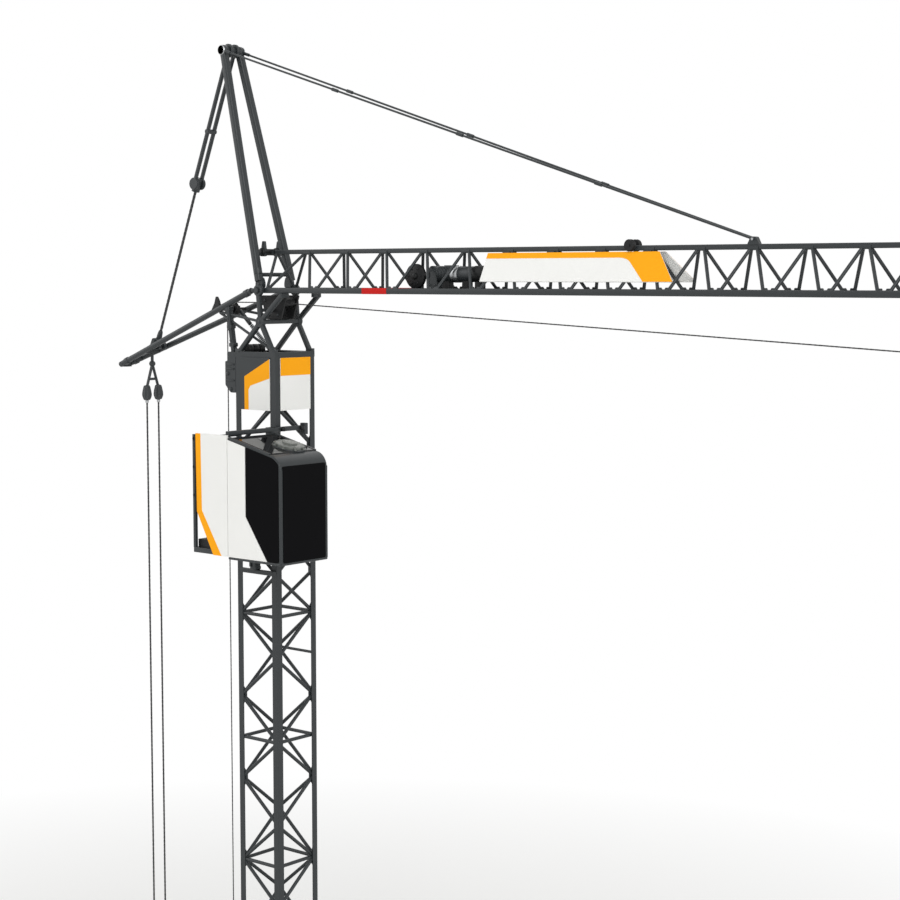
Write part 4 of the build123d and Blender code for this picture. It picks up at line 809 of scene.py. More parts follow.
class CRANE_OT_strut(Operator):
    """Rear strut with its sheave, links and screw"""
    bl_idname = "crane.strut"
    bl_label = "Rear strut"

    def execute(self, context):
        s = sizes()
        steps = s["bar_steps"] + 4
        steel = []
        for side in BOTH:
            root, tip = at(ROOT_X, side * POST_HALF, ROOT_Z), at(TIP_X, side * TIP_HALF, TIP_Z)
            neck = at(PIVOT_X - 2.2, side * POST_HALF, ROOT_Z)
            along = unit(tip - root)
            steel.append(round_bars(root, tip - along * 0.1, s["strut"], steps))
            steel.append(round_bars(root - along * 0.3, neck, s["strut"] * 0.75, steps))
            for spot in (root + along * 3.2, tip - along * 5.0):
                steel.append(turned(collar(1.2, 1.5, 1.2, 1.0), spot, along, steps))
        steel.append(near_box(TIP_X, TIP_X + 2.8, -TIP_HALF, TIP_HALF, -33.2, -30.8, 0.6))
        for x in (LUG_X, GUY_X, END_BAR_X):
            z, half = strut_line(x)
            steel.append(near_box(x - 1.3, x + 1.3, -half, half, z - 1.1, z + 1.1, 0.4))
        z = strut_line(LUG_X)[0]
        foot, top = z - 0.6, z + 3.9
        cheek = softened(mirrored([(-1.2, top), (-3.4, foot)], ACROSS), 0.8) + [LUG_X, 0]
        steel += side_plates(cheek, 0.9, 2.3)
        steel.append(cross_bar(TIP_X + 1.6, -31.9, 3.4, 1.5, 18))
        steel.append(cross_bar(LUG_X, z + 2.4, 3.0, 1.8, 18))
        finish_piece("rear_strut_tubes", dict(paint=steel), "superstructure", ["rear_strut"])
        half = strut_line(KNEE_SHEAVE_X)[1]
        fin = softened([(-27.6, -8.2), (-22.8, -6.6), (-23.6, -4.2), (-24.8, -2.4), (-25.8, -5.4)], 0.5)
        hang = softened([(-26.6, -9.4), (-22.4, -9.4), (-22.0, -6.2), (-26.2, -7.8)], 0.6)
        centre = at(KNEE_SHEAVE_X, 0, SHEAVE_Z)
        black = [sheave(SHEAVE_RADIUS, SHEAVE_LIP, SHEAVE_WIDTH, centre, s["wheel_steps"])]
        black.append(cross_bar(KNEE_SHEAVE_X, SHEAVE_Z, half - 1.0, SHEAVE_SHAFT, 16))
        black.append(side_plate(fin, -half - 0.5, -half + 0.7))
        black += side_plates(hang, 1.4, 2.2)
        finish_piece("knee_rope_sheave", dict(plastic=black), "superstructure",
                     ["knee_sheave"])
        link_x, link_y = -18.0, -8.1
        top, foot = at(link_x, link_y, strut_line(link_x)[0]), at(-15.0, link_y, -24.6)
        down, half = unit(foot - top), Y * 1.25
        steel = [carried(top + down * 0.8, foot, rounded(2.6, 1.5, 0.4), Y)]
        for place in (1.6, 9.0, 16.4):
            tooth = top + down * place
            steel.append(carried(tooth - half, tooth + half, rounded(2.6, 1.6, 0.4), X))
        bolts = domes([top + down * place - half for place in (5.6, 10.2, 14.6)], -Y, 0.6, 0.4, 10)
        brace_x, brace = -23.5, 1.1
        for side in BOTH:
            knee = at(1.0, side * 9.6, KNEE + 0.2)
            steel.append(round_bars(at(brace_x, side * 7.7, -8.8), knee, brace, 14))
        steel.append(round_bars(at(brace_x, -7.5, -9.2), at(8.8, -9.0, -24.2), brace, 14))
        screw_y = 3.7
        top, foot = at(KNEE_SHEAVE_X, screw_y, SHEAVE_Z), at(-5.0, screw_y, -25.4)
        along, span = unit(foot - top), np.linalg.norm(foot - top)
        steel.append(round_bars(top + along * 1.0, top + along * 9.0, 1.7, 18))
        steel.append(round_bars(top, foot, 1.0, 16))
        ridges = [turned(collar(0.5, 0.9, 0.25, 0.1), top + along * place, along, 16)
                  for place in np.arange(10.0, span - 1.0, 0.8)]
        finish_piece("strut_links_and_screw", dict(paint=steel + [bolts], pin=ridges), "superstructure",
                     ["strut_links"])
        return {"FINISHED"}


class CRANE_OT_ropes(Operator):
    """Yoke under the rear strut, the guy ropes below it and the hoist rope over the strut"""
    bl_idname = "crane.ropes"
    bl_label = "Rear ropes"

    def execute(self, context):
        s = sizes()
        eye = at(GUY_X, 0, -31.5)
        yoke = [round_bars(at(GUY_X, 0, strut_line(GUY_X)[0] - 0.6), at(GUY_X, 0, -31.7), 1.3, 14)]
        yoke.append(cross_bar(GUY_X, -38.0, YOKE_HALF * 6.5 / 9.0, 1.1, 14))
        yoke.append(turned(rim(0.4, 1.0, 1.2, 0.9, 0.6), eye, X, 20))
        drop_line = [[0.5, 3.4], [0.9, 3.2], [1.15, 2.2], [1.25, 0.8], [1.3, -0.6], [1.2, -1.8], [0.9, -2.6],
                     [0.5, -3.0]]
        cheek = mirrored([(-0.9, -40.6), (-1.9, -43.4), (-2.1, -45.0), (-1.0, -46.9)], ACROSS)
        cheek = softened(cheek, 0.7) + [GUY_X, 0]
        end_line = [[0.4, -0.6], [0.75, -0.6], [0.75, 0.4], [0.5, 0.6]]
        foot_line = [[0.45, 0], [0.9, 0], [0.9, 4.2], [0.6, 6.0], [0.45, 6.4]]
        yoke_ends, guys, guy_feet = [], [], []
        for side in BOTH:
            y = side * YOKE_HALF
            yoke.append(round_bars(eye, at(GUY_X, y, -41.6), 1.2, 14))
            yoke.append(turned(drop_line, at(GUY_X, y, -43.9), Z, 18))
            yoke.append(side_plate(cheek, y - 0.95, y + 0.95))
            yoke_ends.append(turned(end_line, at(GUY_X, y, GUY_TOP - 0.4), Z, 14))
            foot = np.array([TOWER_X + GUY_X, y, DECK_TOP + GUY_BLOCK_HIGH])
            guys.append(laid_rope(foot, at(GUY_X, y, GUY_TOP), s["guy"], s["lay"]))
            guy_feet.append(turned(foot_line, foot - Z * 0.4, Z, 16))
        finish_piece("strut_yoke_links", dict(paint=yoke, pin=yoke_ends), "superstructure",
                     ["strut_yoke"])
        middle = TOWER_X + GUY_X
        block = box((middle - 2.0, -5.2, DECK_TOP), (middle + 2.0, 5.2, DECK_TOP + GUY_BLOCK_HIGH), 0.8)
        finish_piece("rear_guy_ropes", dict(thread=guys, pin=guy_feet, paint=[block]), "superstructure",
                     ["rear_guys"])
        radius = SHEAVE_RADIUS + s["rope"] / 2
        rope_x = KNEE_SHEAVE_X - radius
        down = laid_rope(at(rope_x, 0, WINCH_Z - PIVOT_Z), at(rope_x, 0, SHEAVE_Z), s["rope"], s["lay"])
        over = laid_rope(at(KNEE_SHEAVE_X, 0, ROPE_LEVEL), at(HEAD_X, 0, ROPE_LEVEL), s["rope"], s["lay"])
        turn = np.linspace(np.pi, np.pi / 2, 14)
        arc = at(KNEE_SHEAVE_X + radius * np.cos(turn), 0, SHEAVE_Z + radius * np.sin(turn))
        bend = round_bars(arc[:-1], arc[1:], s["rope"], 10)
        finish_piece("rear_hoist_rope", dict(thread=[down, over, bend]), "superstructure",
                     ["hoist_rope_rear"])
        return {"FINISHED"}


def roof(x):
    """Height of the cab roof: a straight fall to the front."""
    return CAB_HIGH - ROOF_FALL * (np.asarray(x, float) - CAB_REAR) / (CAB_FRONT - CAB_REAR)


def cab_outline(inset):
    """Side view of the cab: a box with a falling roof and an arc that touches roof and front."""
    lean = math.atan2(ROOF_FALL, CAB_FRONT - CAB_REAR)
    front = CAB_FRONT - inset
    reach = ROOF_ROUND * math.tan((np.pi / 2 - lean) / 2)
    centre = np.array([front - ROOF_ROUND, roof(front) - inset - reach])
    turn = np.linspace(0, np.pi / 2 - lean, 11)
    head = centre + ROOF_ROUND * np.stack([np.cos(turn), np.sin(turn)], axis=1)
    low = CAB_LOW - CAB_SILL
    rest = [[CAB_REAR, CAB_HIGH - inset], [CAB_REAR, low], [front, low]]
    return np.concatenate([head, rest])


class CRANE_OT_cab(Operator):
    """Cab: shell, black windows, white side, roof pane and hatch"""
    bl_idname = "crane.cab"
    bl_label = "Cab"

    def execute(self, context):
        s = sizes()
        skin, sheet, pane_edge, panel_edge = 0.25, 0.6, 0.12, 0.1
        post_x, post_top = CAB_FRONT - 0.6, -66.6
        sill_x, sill = CAB_FRONT - 0.5, CAB_LOW - CAB_SILL + 0.5
        brow_x = np.array([CAB_REAR + 0.4, CAB_FRONT - ROOF_ROUND])
        shell = [side_plate(cab_outline(skin), CAB_OUT + skin, CAB_IN - skin)]
        for y, inward in ((CAB_OUT, 1), (CAB_IN, -1)):
            post = y + inward * 0.55
            edge = y + inward * 0.5
            brow = at(brow_x, y + inward * 0.6, roof(brow_x) - 0.1)
            shell.append(round_bars(at(post_x, post, sill + 0.1), at(post_x, post, post_top), 1.1, 14))
            shell.append(carried(at(CAB_REAR, edge, sill), at(sill_x, edge, sill),
                                 rounded(0.96, 0.96, 0.3), Z))
            shell.append(carried(brow[0], brow[1], rounded(0.7, 1.1, 0.3), Z))
        shell.append(carried(at(sill_x, CAB_OUT + 0.4, sill), at(sill_x, CAB_IN - 0.4, sill),
                             rounded(0.98, 0.98, 0.3), Z))
        finish_piece("cab_shell", dict(cab=shell), "cab", ["cab_body"], s["edge"] * 2)
        rim_rear = roof(PANE_REAR) - ROOF_RIM
        left, front = PANE_REAR + 0.2, CAB_FRONT - 1.4
        shoulder = front - ROOF_ROUND / 2
        brow = roof(front) - ROOF_RIM - ROOF_ROUND / 4
        pane = softened([(left, rim_rear), (left, WINDOW_KNEE), (34.8, CAB_LOW), (front, CAB_LOW),
                         (front, brow), (shoulder, roof(shoulder) - ROOF_RIM)], 1.0)
        panes = [side_plate(pane, CAB_OUT, CAB_OUT + sheet), side_plate(pane, CAB_IN - sheet, CAB_IN)]
        right, left, top = CAB_OUT + 1.4, CAB_IN - 1.4, -65.4
        screen = softened([(right, CAB_LOW), (left, CAB_LOW), (left, top), (right, top)], 0.7)
        panes.append(plate(screen, at(CAB_FRONT - sheet, 0, 0), Y, X * sheet))
        light_x, light_under, light_over = np.array([15.0, 36.0]), -0.3, 0.15
        light = np.column_stack([light_x, roof(light_x)])
        light = np.concatenate([light + [0, light_under], light[::-1] + [0, light_over]])
        skylight = side_plate(light, CAB_OUT + 1.7, CAB_IN - 1.7)
        finish_piece("cab_glass", dict(glass=panes, skylight=[skylight]), "cab",
                     ["cab_windows"], pane_edge)
        white = [(CAB_REAR, CAB_LOW), (34.5, CAB_LOW), (PANE_REAR, WINDOW_KNEE - 0.1), (PANE_REAR, rim_rear),
                 (CAB_REAR, roof(CAB_REAR) - ROOF_RIM)]
        finish_piece("cab_white_side", dict(white=[side_plate(white, CAB_OUT, CAB_OUT + sheet)]), "cab",
                     ["cab_side_panel"], panel_edge)
        spot = at(30.4, -23.0, roof(30.4))
        up = unit(np.array([ROOF_FALL, 0, CAB_FRONT - CAB_REAR]))
        ring = turned([[6.7, -0.5], [6.7, 0.25], [6.5, 0.4], [5.6, 0.4]], spot, up, 32)
        smoke = [turned([[5.9, -0.6], [5.9, 1.2], [5.6, 1.5], [1.2, 1.5]], spot, up, 8)]
        smoke.append(turned([[3.0, 0.0], [3.0, 0.5], [2.7, 0.75], [0.8, 0.8]], spot + up * 1.45, up, 8))
        turn = np.arange(8) * (np.pi / 4) + np.pi / 8
        around = np.cos(turn)[:, None] * unit(np.cross(Y, up)) + np.sin(turn)[:, None] * Y
        smoke.append(domes(spot + up * 0.35 + around * 6.3, up, 0.45, 0.5, 8))
        for out in around:
            rib = spot + out * 5.8
            smoke.append(carried(rib + up * 0.3, rib + up * 1.2, rounded(0.7, 0.9, 0.2), out))
        finish_piece("cab_hatch", dict(cab=[ring], hatch=smoke), "cab", ["cab_roof_hatch"])
        return {"FINISHED"}


class CRANE_OT_platform(Operator):
    """Cab platform, rear ladder, white rear panel and the guide frames"""
    bl_idname = "crane.platform"
    bl_label = "Cab platform"

    def execute(self, context):
        s = sizes()
        lift = s["print_rise"]
        rear, out, seat = PLATFORM_REAR, CAB_OUT + 0.8, CAB_LOW + 1.9
        front, inner = CAB_REAR - 0.1, CAB_IN - 1.0
        floor = [near_box(rear, CAB_REAR, out, CAB_IN, CAB_LOW, CAB_LOW + 2.0, 0.5)]
        floor += [near_box(x, x + 0.7, CAB_OUT + 3.0, CAB_IN - 1.5, seat, seat + 0.35, 0.2)
                  for x in np.arange(-4.6, 12.0, 2.2)]
        floor.append(near_box(rear + 0.1, front, inner, CAB_IN - 0.1, seat, seat + 2.3, 0.2))
        floor.append(near_box(rear + 1.2, front, inner, CAB_IN - 0.5, -87.0, CAB_HIGH - 2.6, 0.2))
        step = near_box(rear + 1.3, 8.0, CAB_OUT + 2.2, CAB_OUT + 9.0, seat, seat + 3.3, 0.3)
        finish_piece("cab_floor", dict(cab=floor, plastic=[step]), "cab", ["cab_platform"],
                     s["edge"])
        post_x, ladder_in = rear + 0.7, out + 7.0
        post_y = np.array([out + 0.7, CAB_IN - 0.7])
        rails = CAB_HIGH - 1.7 - ((CAB_HIGH - CAB_LOW - 2.0) / 4) * np.arange(3)
        rungs = CAB_HIGH - 5.0 - 4.4 * np.arange(6)
        ladder = [carried(at(post_x, post_y, seat), at(post_x, post_y, CAB_HIGH), rounded(1.4, 1.4, 0.3), X)]
        ladder.append(round_bars(at(post_x, out, rails), at(post_x, CAB_IN, rails), 1.2, 14))
        ladder.append(round_bars(at(post_x, post_y[0], rungs), at(post_x, ladder_in, rungs), 0.6, 10))
        ladder.append(carried(at(post_x, ladder_in, seat), at(post_x, ladder_in, CAB_HIGH - 1.4),
                              rounded(0.8, 0.8, 0.2), X))
        finish_piece("cab_rear_ladder", dict(cab=ladder), "cab", ["cab_rear_rail"])
        seam = CAB_REAR - 0.3
        edge = [(-4.4, PANEL_TOP), (-4.0, WINDOW_KNEE), (5.0, CAB_LOW)]
        panel = side_plate(edge + [(seam, CAB_LOW), (seam, PANEL_TOP)], CAB_OUT + lift, CAB_OUT + 0.8)
        stripe = edge + [(9.6, CAB_LOW), (-1.2, -85.0), (-1.6, PANEL_TOP)]
        band = side_plate(stripe, CAB_OUT, CAB_OUT + lift + 0.05)
        rivets = domes(at(12.2, CAB_OUT + lift, [-57.0, -78.0, -100.0]), -Y, 0.35, 0.1, 8)
        finish_piece("cab_white_rear", dict(white=[panel, rivets], orange=[band]), "cab",
                     ["cab_rear_panel"])
        bar, inside = 1.8, POST_OUT + 0.5
        outside = inside + bar
        middle = inside + bar / 2
        section = rounded(bar, bar, 0.35)
        high = -53.6
        level = high - bar / 2
        upper = [carried(at(middle, out, level), at(middle, 3.6, level), section, Z)]
        upper.append(near_box(inside, outside + 0.9, 2.0, 4.0, high - 2 * bar, high + 0.9, 0.3))
        upper.append(near_box(CAB_REAR - 3.6, CAB_REAR, CAB_IN - bar, -inside, -66.5, high, 0.4))
        rolls = [turned(rim(0.4, 0.9, 1.0, 0.8, 0.6), at(middle + 1.3, y, level), Z, 20) for y in (-9.6, 1.0)]
        finish_piece("cab_guide_frame_upper", dict(paint=upper, plastic=rolls), "cab",
                     ["cab_guide_upper"], s["edge"])
        high = CAB_LOW - 9.1
        level = high - bar / 2
        lower = [carried(at(-7.0, -middle, level), at(outside - 2.0, -middle, level), section, Z)]
        lower.append(near_box(-0.3, 3.2, CAB_IN - 1.2, -inside - 0.05, high + 0.2, high + 1.4, 0.4))
        lower.append(near_box(0.3, 2.6, -inside - 1.4, -inside - 0.1, level, high + 0.6, 0.2))
        lower += [near_box(x, x + 1.1, CAB_IN - 1.5, -inside - 0.3, high + 1.2, CAB_LOW, 0.3)
                  for x in (-0.4, 2.0)]
        lower.append(near_box(0.0, 2.8, inner, -inside - 0.8, high + 1.3, CAB_LOW, 0.2))
        finish_piece("cab_guide_frame_lower", dict(paint=lower), "cab", ["cab_guide_lower"],
                     s["edge"])
        return {"FINISHED"}


class CRANE_OT_jib(Operator):
    """Triangular lattice jib with its chords, lacing, end shaft and nose"""
    bl_idname = "crane.jib"
    bl_label = "Jib"

    def execute(self, context):
        s = sizes()
        side_low, side_top, lace, steps = s["low_chord"], s["top_chord"], s["jib_lace"], s["bar_steps"]
        tops = JIB_FIRST + JIB_BAY * np.arange(JIB_TOPS)
        lows = np.concatenate([[JIB_LOW_FIRST], tops + JIB_BAY / 2])
        foot_reach, head_reach, rear_head = 8.4, 1.0, 1.7
        mark_rear, mark_front, mark_side = 55.8, 68.2, side_low + 0.12
        feet = np.concatenate([lows[:1], tops[1:] - foot_reach, tops + foot_reach, lows[:1]])
        heads = np.concatenate([tops - head_reach, tops + head_reach, [rear_head]])
        chord = rounded(side_low, side_low, s["corner"])
        mark_line = rounded(mark_side, mark_side, s["corner"])
        web = [(-1.3, 0.8), (1.3, 0.8), (0.9, 1.9), (-0.9, 1.9)]
        for name, side in SIDES:
            y = side * JIB_HALF
            out = unit(np.array([0, side * JIB_RISE, JIB_HALF]))
            steel = [carried(at(CHORD_REAR, y, 0), at(CHORD_FRONT, y, 0), chord, Z)]
            steel.append(round_bars(at(feet, y, 0), at(heads, 0, JIB_RISE), lace, steps))
            steel += [plate(web, spot - out * 0.25, -X * side, out * 0.5) for spot in at(feet[1:-1], y, 0)]
            mark = carried(at(mark_rear, y, 0), at(mark_front, y, 0), mark_line, Z)
            finish_piece("jib_" + name + "_lattice", dict(paint=steel, red=[mark]), "jib",
                         ["jib_" + name + "_side"])
        top_line = rounded(side_top, side_top, s["corner"])
        steel = [carried(at(TOP_REAR, 0, JIB_RISE), at(TOP_FRONT, 0, JIB_RISE), top_line, Z)]
        saddle, saddle_half = JIB_RISE - 0.45, 2.0
        steel.append(carried(at(tops - saddle_half, 0, saddle), at(tops + saddle_half, 0, saddle),
                             rounded(1.4, 2.2, 0.4), Z))
        finish_piece("jib_top_tube", dict(paint=steel), "jib", ["jib_top_chord"])
        reach = JIB_HALF - side_low / 2 + 0.2
        level = (lace - side_low) / 2
        starts = np.concatenate([at(lows[1:], -reach, level), at(lows[:-1], reach, level)])
        ends = np.concatenate([at(lows[1:], reach, level), at(lows[1:], -reach, level)])
        finish_piece("jib_bottom_bars", dict(paint=[round_bars(starts, ends, lace, steps)]), "jib",
                     ["jib_bottom_lacing"])
        x = TOP_REAR - 3.0
        roll_line = mirrored([[1.2, -5.3], [1.6, -5.1], [1.7, -4.9], [1.7, -2.8], [1.3, -2.4]], ENDWISE)
        roll = turned(roll_line, at(x, 0, JIB_RISE), Y, s["wheel_steps"] // 2)
        ear = softened([(x - 0.5, 13.6), (x + 1.6, 13.6), (x + 1.6, 16.6), (x + 1.2, 19.5), (x + 0.2, 19.5),
                        (x - 0.3, 17.0)], 0.4)
        steel = side_plates(ear, 3.5, 4.7)
        half = side_top / 2
        steel.append(near_box(x, TOP_REAR + 0.6, -half, half, JIB_RISE - half, JIB_RISE + half, 0.2))
        finish_piece("jib_end_roller", dict(plastic=[roll], paint=steel), "jib",
                     ["jib_end_shaft"])
        x, half = CHORD_FRONT + 1.1, JIB_HALF + 1.1
        beam = carried(at(x, -half, 0), at(x, half, 0), chord, Z)
        wheel = sheave(1.7, 0.4, 2.0, at(CHORD_FRONT + 2.2, 0, -1.1), 32)
        finish_piece("jib_nose", dict(paint=[beam], plastic=[wheel]), "jib", ["jib_tip"])
        return {"FINISHED"}


APEX = at(APEX_X, 0, APEX_RISE)
YOKE = at(-44.6, 0, 43.2)
LUG = at(LUG_X, 0, -21.98)


def pole_point(side, rise):
    """A point on a mast pole: a straight line from the jib foot to the apex, closing in as it rises."""
    share = (rise - POLE_FOOT) / (APEX_RISE - POLE_FOOT)
    foot = JIB_HALF + 0.9
    x = PIVOT_X + (APEX_X - PIVOT_X) * rise / APEX_RISE
    return at(x, side * (foot + (APEX_HALF - foot) * share), rise)


class CRANE_OT_mast(Operator):
    """Leaning mast poles with cross bars and the fore stays"""
    bl_idname = "crane.mast"
    bl_label = "Mast frame"

    def execute(self, context):
        s = sizes()
        steps = s["wheel_steps"] // 2
        pole_line = rounded(s["pole"], s["pole"] * 0.94, 0.8, 5)
        shoe = softened([(-1.5, 1.1), (2.2, 1.1), (2.2, 3.0), (1.4, 5.1), (-0.9, 5.1), (-1.5, 3.0)], 0.6)
        for name, side in SIDES:
            y = side * JIB_HALF
            foot, head = pole_point(side, POLE_FOOT + 0.1), pole_point(side, APEX_RISE)
            along = unit(head - foot)
            steel = [carried(foot, head - along * 1.4, pole_line, Y), side_plate(shoe, y - 1.1, y + 1.1)]
            steel.append(turned(collar(1.2, 1.75, 1.4, 1.1), foot + along * 4.0, along, steps))
            steel.append(turned(rim(0.9, 1.7, 2.1, 1.0, 0.6), APEX + Y * side * APEX_HALF, Y, steps))
            steel.append(dome(at(0.4, y + side * 1.05, 2.4), Y * side, 0.7, 0.3))
            finish_piece("mast_" + name + "_pole", dict(paint=steel), "jib",
                         ["mast_pole_" + name], s["edge"])
        tie_rise, thin_rise = 6.2, 14.5
        steel = [round_bars(pole_point(-1, tie_rise), pole_point(1, tie_rise), 1.6, 18)]
        steel.append(round_bars(pole_point(-1, thin_rise), pole_point(1, thin_rise), 0.9, 14))
        steel.append(cross_bar(APEX_X, APEX_RISE, 6.0, 3.4, s["wheel_steps"]))
        end_line = [[0.8, 0], [1.9, 0], [2.0, 0.2], [1.7, 0.5], [0.8, 0.5]]
        ends = [turned(end_line, APEX + Y * side * 5.5, Y * side, steps) for side in BOTH]
        finish_piece("mast_cross_tubes", dict(paint=steel, pin=ends), "jib",
                     ["mast_cross_bars"])
        lug_x, lug_low = JIB_FIRST + JIB_BAY * STAY_BAYS, JIB_RISE + 0.5
        lug_top = JIB_RISE + 3.3
        pin_rise = lug_top - 0.8
        ear = softened([(lug_x - 2.4, lug_low), (lug_x + 2.4, lug_low), (lug_x + 1.0, lug_top),
                        (lug_x - 1.0, lug_top)], 0.5)
        rod, sleeve, sleeve_half = 0.8, 1.3, 1.5
        steel = [side_plate(ear, -0.9, 0.9)]
        for side in BOTH:
            head, foot = APEX + Y * side * 5.2, at(lug_x, side * 0.9, pin_rise)
            along = unit(foot - head)
            spots = head + (foot - head) * np.array([[0.25], [0.5], [0.75]])
            steel.append(round_bars(head + along * 1.6, foot, rod, 12))
            steel.append(round_bars(spots - along * sleeve_half, spots + along * sleeve_half, sleeve, 14))
            steel.append(round_bars(head + along * sleeve_half, head + along * 5.0, sleeve, 14))
        pin = cross_bar(lug_x, pin_rise, 1.7, 0.9, 14)
        finish_piece("fore_stay_rods", dict(paint=steel, pin=[pin]), "jib", ["fore_stays"])
        return {"FINISHED"}


class CRANE_OT_luffing(Operator):
    """Luffing bars, their yoke, the luffing rope and its socket"""
    bl_idname = "crane.luffing"
    bl_label = "Luffing gear"

    def execute(self, context):
        s = sizes()
        pull = unit(YOKE - APEX)
        hub, joint = YOKE - pull * 0.4, APEX + pull * 34.0
        top = YOKE + pull * YOKE_END
        steel = []
        for side in BOTH:
            y = Y * side * 1.7
            steel.append(carried(APEX + y + pull * 2.0, YOKE + y, rounded(1.4, 1.4, 0.3), Y))
            steel.append(turned(rim(1.8, 2.5, 2.75, 0.7, 0.45), APEX + y, Y, s["wheel_steps"], ring=True))
            steel.append(turned(rim(0.8, 2.3, 2.5, 0.55, 0.3), hub + Y * side * 1.9, Y, 32))
        steel.append(round_bars(joint - Y * 2.5, joint + Y * 2.5, 1.9, 18))
        steel.append(carried(YOKE - pull * 2.8, top, rounded(3.2, 2.5, 0.8), Y))
        caps = domes([hub + Y * 2.4, hub - Y * 2.4], Y, 0.8, 0.1)
        finish_piece("luffing_guy_bars", dict(paint=steel, pin=[caps]), "guy_rods",
                     ["guy_rods"], s["edge"])
        up = unit(top - LUG)
        foot = LUG + up * ROPE_SOCKET
        strands = laid_rope(foot, top, s["luff"], s["lay"], sides=6, steps=14)
        rope = finish_piece("luffing_rope_strands", dict(thread=[strands]), "luffing_rope",
                            ["luffing_rope"])
        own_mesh(rope)
        socket_line = [[0.5, 1.5], [1.15, 1.6], [1.15, 2.6], [0.95, 4.4], [0.7, ROPE_SOCKET]]
        steel = [turned(rim(1.0, 1.6, 1.8, 0.8, 0.6), LUG, Y, 32, ring=True)]
        steel.append(turned(socket_line, LUG, up, 24))
        finish_piece("luffing_rope_socket", dict(paint=steel), "luffing_rope", ["rope_anchor"])
        return {"FINISHED"}


class CRANE_OT_winch(Operator):
    """Trolley winch inside the jib: bed, drum, gear case and motor"""
    bl_idname = "crane.winch"
    bl_label = "Trolley winch"

    def execute(self, context):
        s = sizes()
        steps = s["wheel_steps"]
        bed, shaft_rise, gear_x = 0.9, 6.0, 85.0
        stand = softened([(73.3, bed), (76.9, bed), (76.4, 6.5), (73.8, 6.5)], 0.6)
        gear = mirrored([(-1.0, 9.4), (-2.0, 8.4), (-2.0, bed)], ACROSS)
        gear = softened(gear, 0.6) + [gear_x, 0]
        steel = [near_box(70.0, 111.0, -6.95, 6.95, 0.1, bed, 0.6), side_plate(stand, 0.8, 1.8)]
        steel.append(side_plate(gear, -2.0, 2.0))
        bolts = [at(x, -2.0, rise) for x in (gear_x - 1.1, gear_x + 1.1) for rise in (2.2, 7.6)]
        steel.append(domes(bolts, -Y, 0.45, 0.3, 10))
        black = [round_bars(at(78.4, 0, shaft_rise), at(83.2, 0, shaft_rise), 1.6, 24)]
        black.append(turned(rim(0.8, 2.1, 2.3, 0.7, 0.4), at(83.1, 0, shaft_rise), X, 28))
        finish_piece("trolley_winch_bed", dict(paint=steel, plastic=black), "jib",
                     ["winch_frame"], s["edge"])
        centre, face = at(75.1, 0, 5.6), 0.8
        drum = wound_drum(3.9, 0.5, 0.25, centre, steps)
        hub = centre - Y * face
        black = [turned(rim(0.6, 4.4, 4.6, 0.2, 0.05), centre + Y * side * (face - 0.2), Y, steps)
                 for side in BOTH]
        black.append(dome(hub, -Y, 1.3, 0.7, 20))
        black += [dome(hub + np.array([across, 0, up]), -Y, 0.4, 0.25, 8) for across, up in circle(3.0, 6)]
        finish_piece("trolley_winch_drum", dict(thread=[drum], plastic=black), "jib",
                     ["winch_drum"])
        motor_rise, length, rib_count = 6.3, 6.0, 8
        place = np.linspace(0, length, 49)
        ribs = 2.75 + 0.3 * (np.sin(place / length * 2 * np.pi * rib_count) > 0)
        ribs = np.stack([ribs, place + 0.3], axis=1)
        body_line = np.concatenate([[[1.2, 0.0], [2.6, 0.0]], ribs, [[2.7, 6.6], [2.7, 7.2]]])
        sleeve_line = [[2.0, 0], [3.0, 0], [3.1, 0.2], [3.1, 3.0], [3.0, 3.2], [2.0, 3.2]]
        frame_line = [[2.0, 0], [2.8, 0], [2.9, 0.3], [2.9, 6.6], [2.0, 6.8]]
        cover_line = [[2.0, 0], [3.0, 0], [3.1, 0.3], [3.1, 4.6], [2.6, 5.8], [1.2, 6.0]]
        body, sleeve, frame_part, cover = [
            turned(line, at(x, 0, motor_rise), X, 32)
            for line, x in ((body_line, 87.0), (sleeve_line, 94.0), (frame_line, 97.2), (cover_line, 104.0))]
        lid = near_box(90.0, 95.0, -1.5, 1.5, 8.6, 9.6, 0.4)
        feet = [near_box(x, x + 3.0, -1.5, 1.5, bed, 5.0, 0.3) for x in (89.4, 98.6, 104.6)]
        looks = dict(paint=[body, frame_part, lid], pin=[sleeve], plastic=[cover] + feet)
        finish_piece("trolley_winch_motor", looks, "jib", ["winch_motor"])
        return {"FINISHED"}


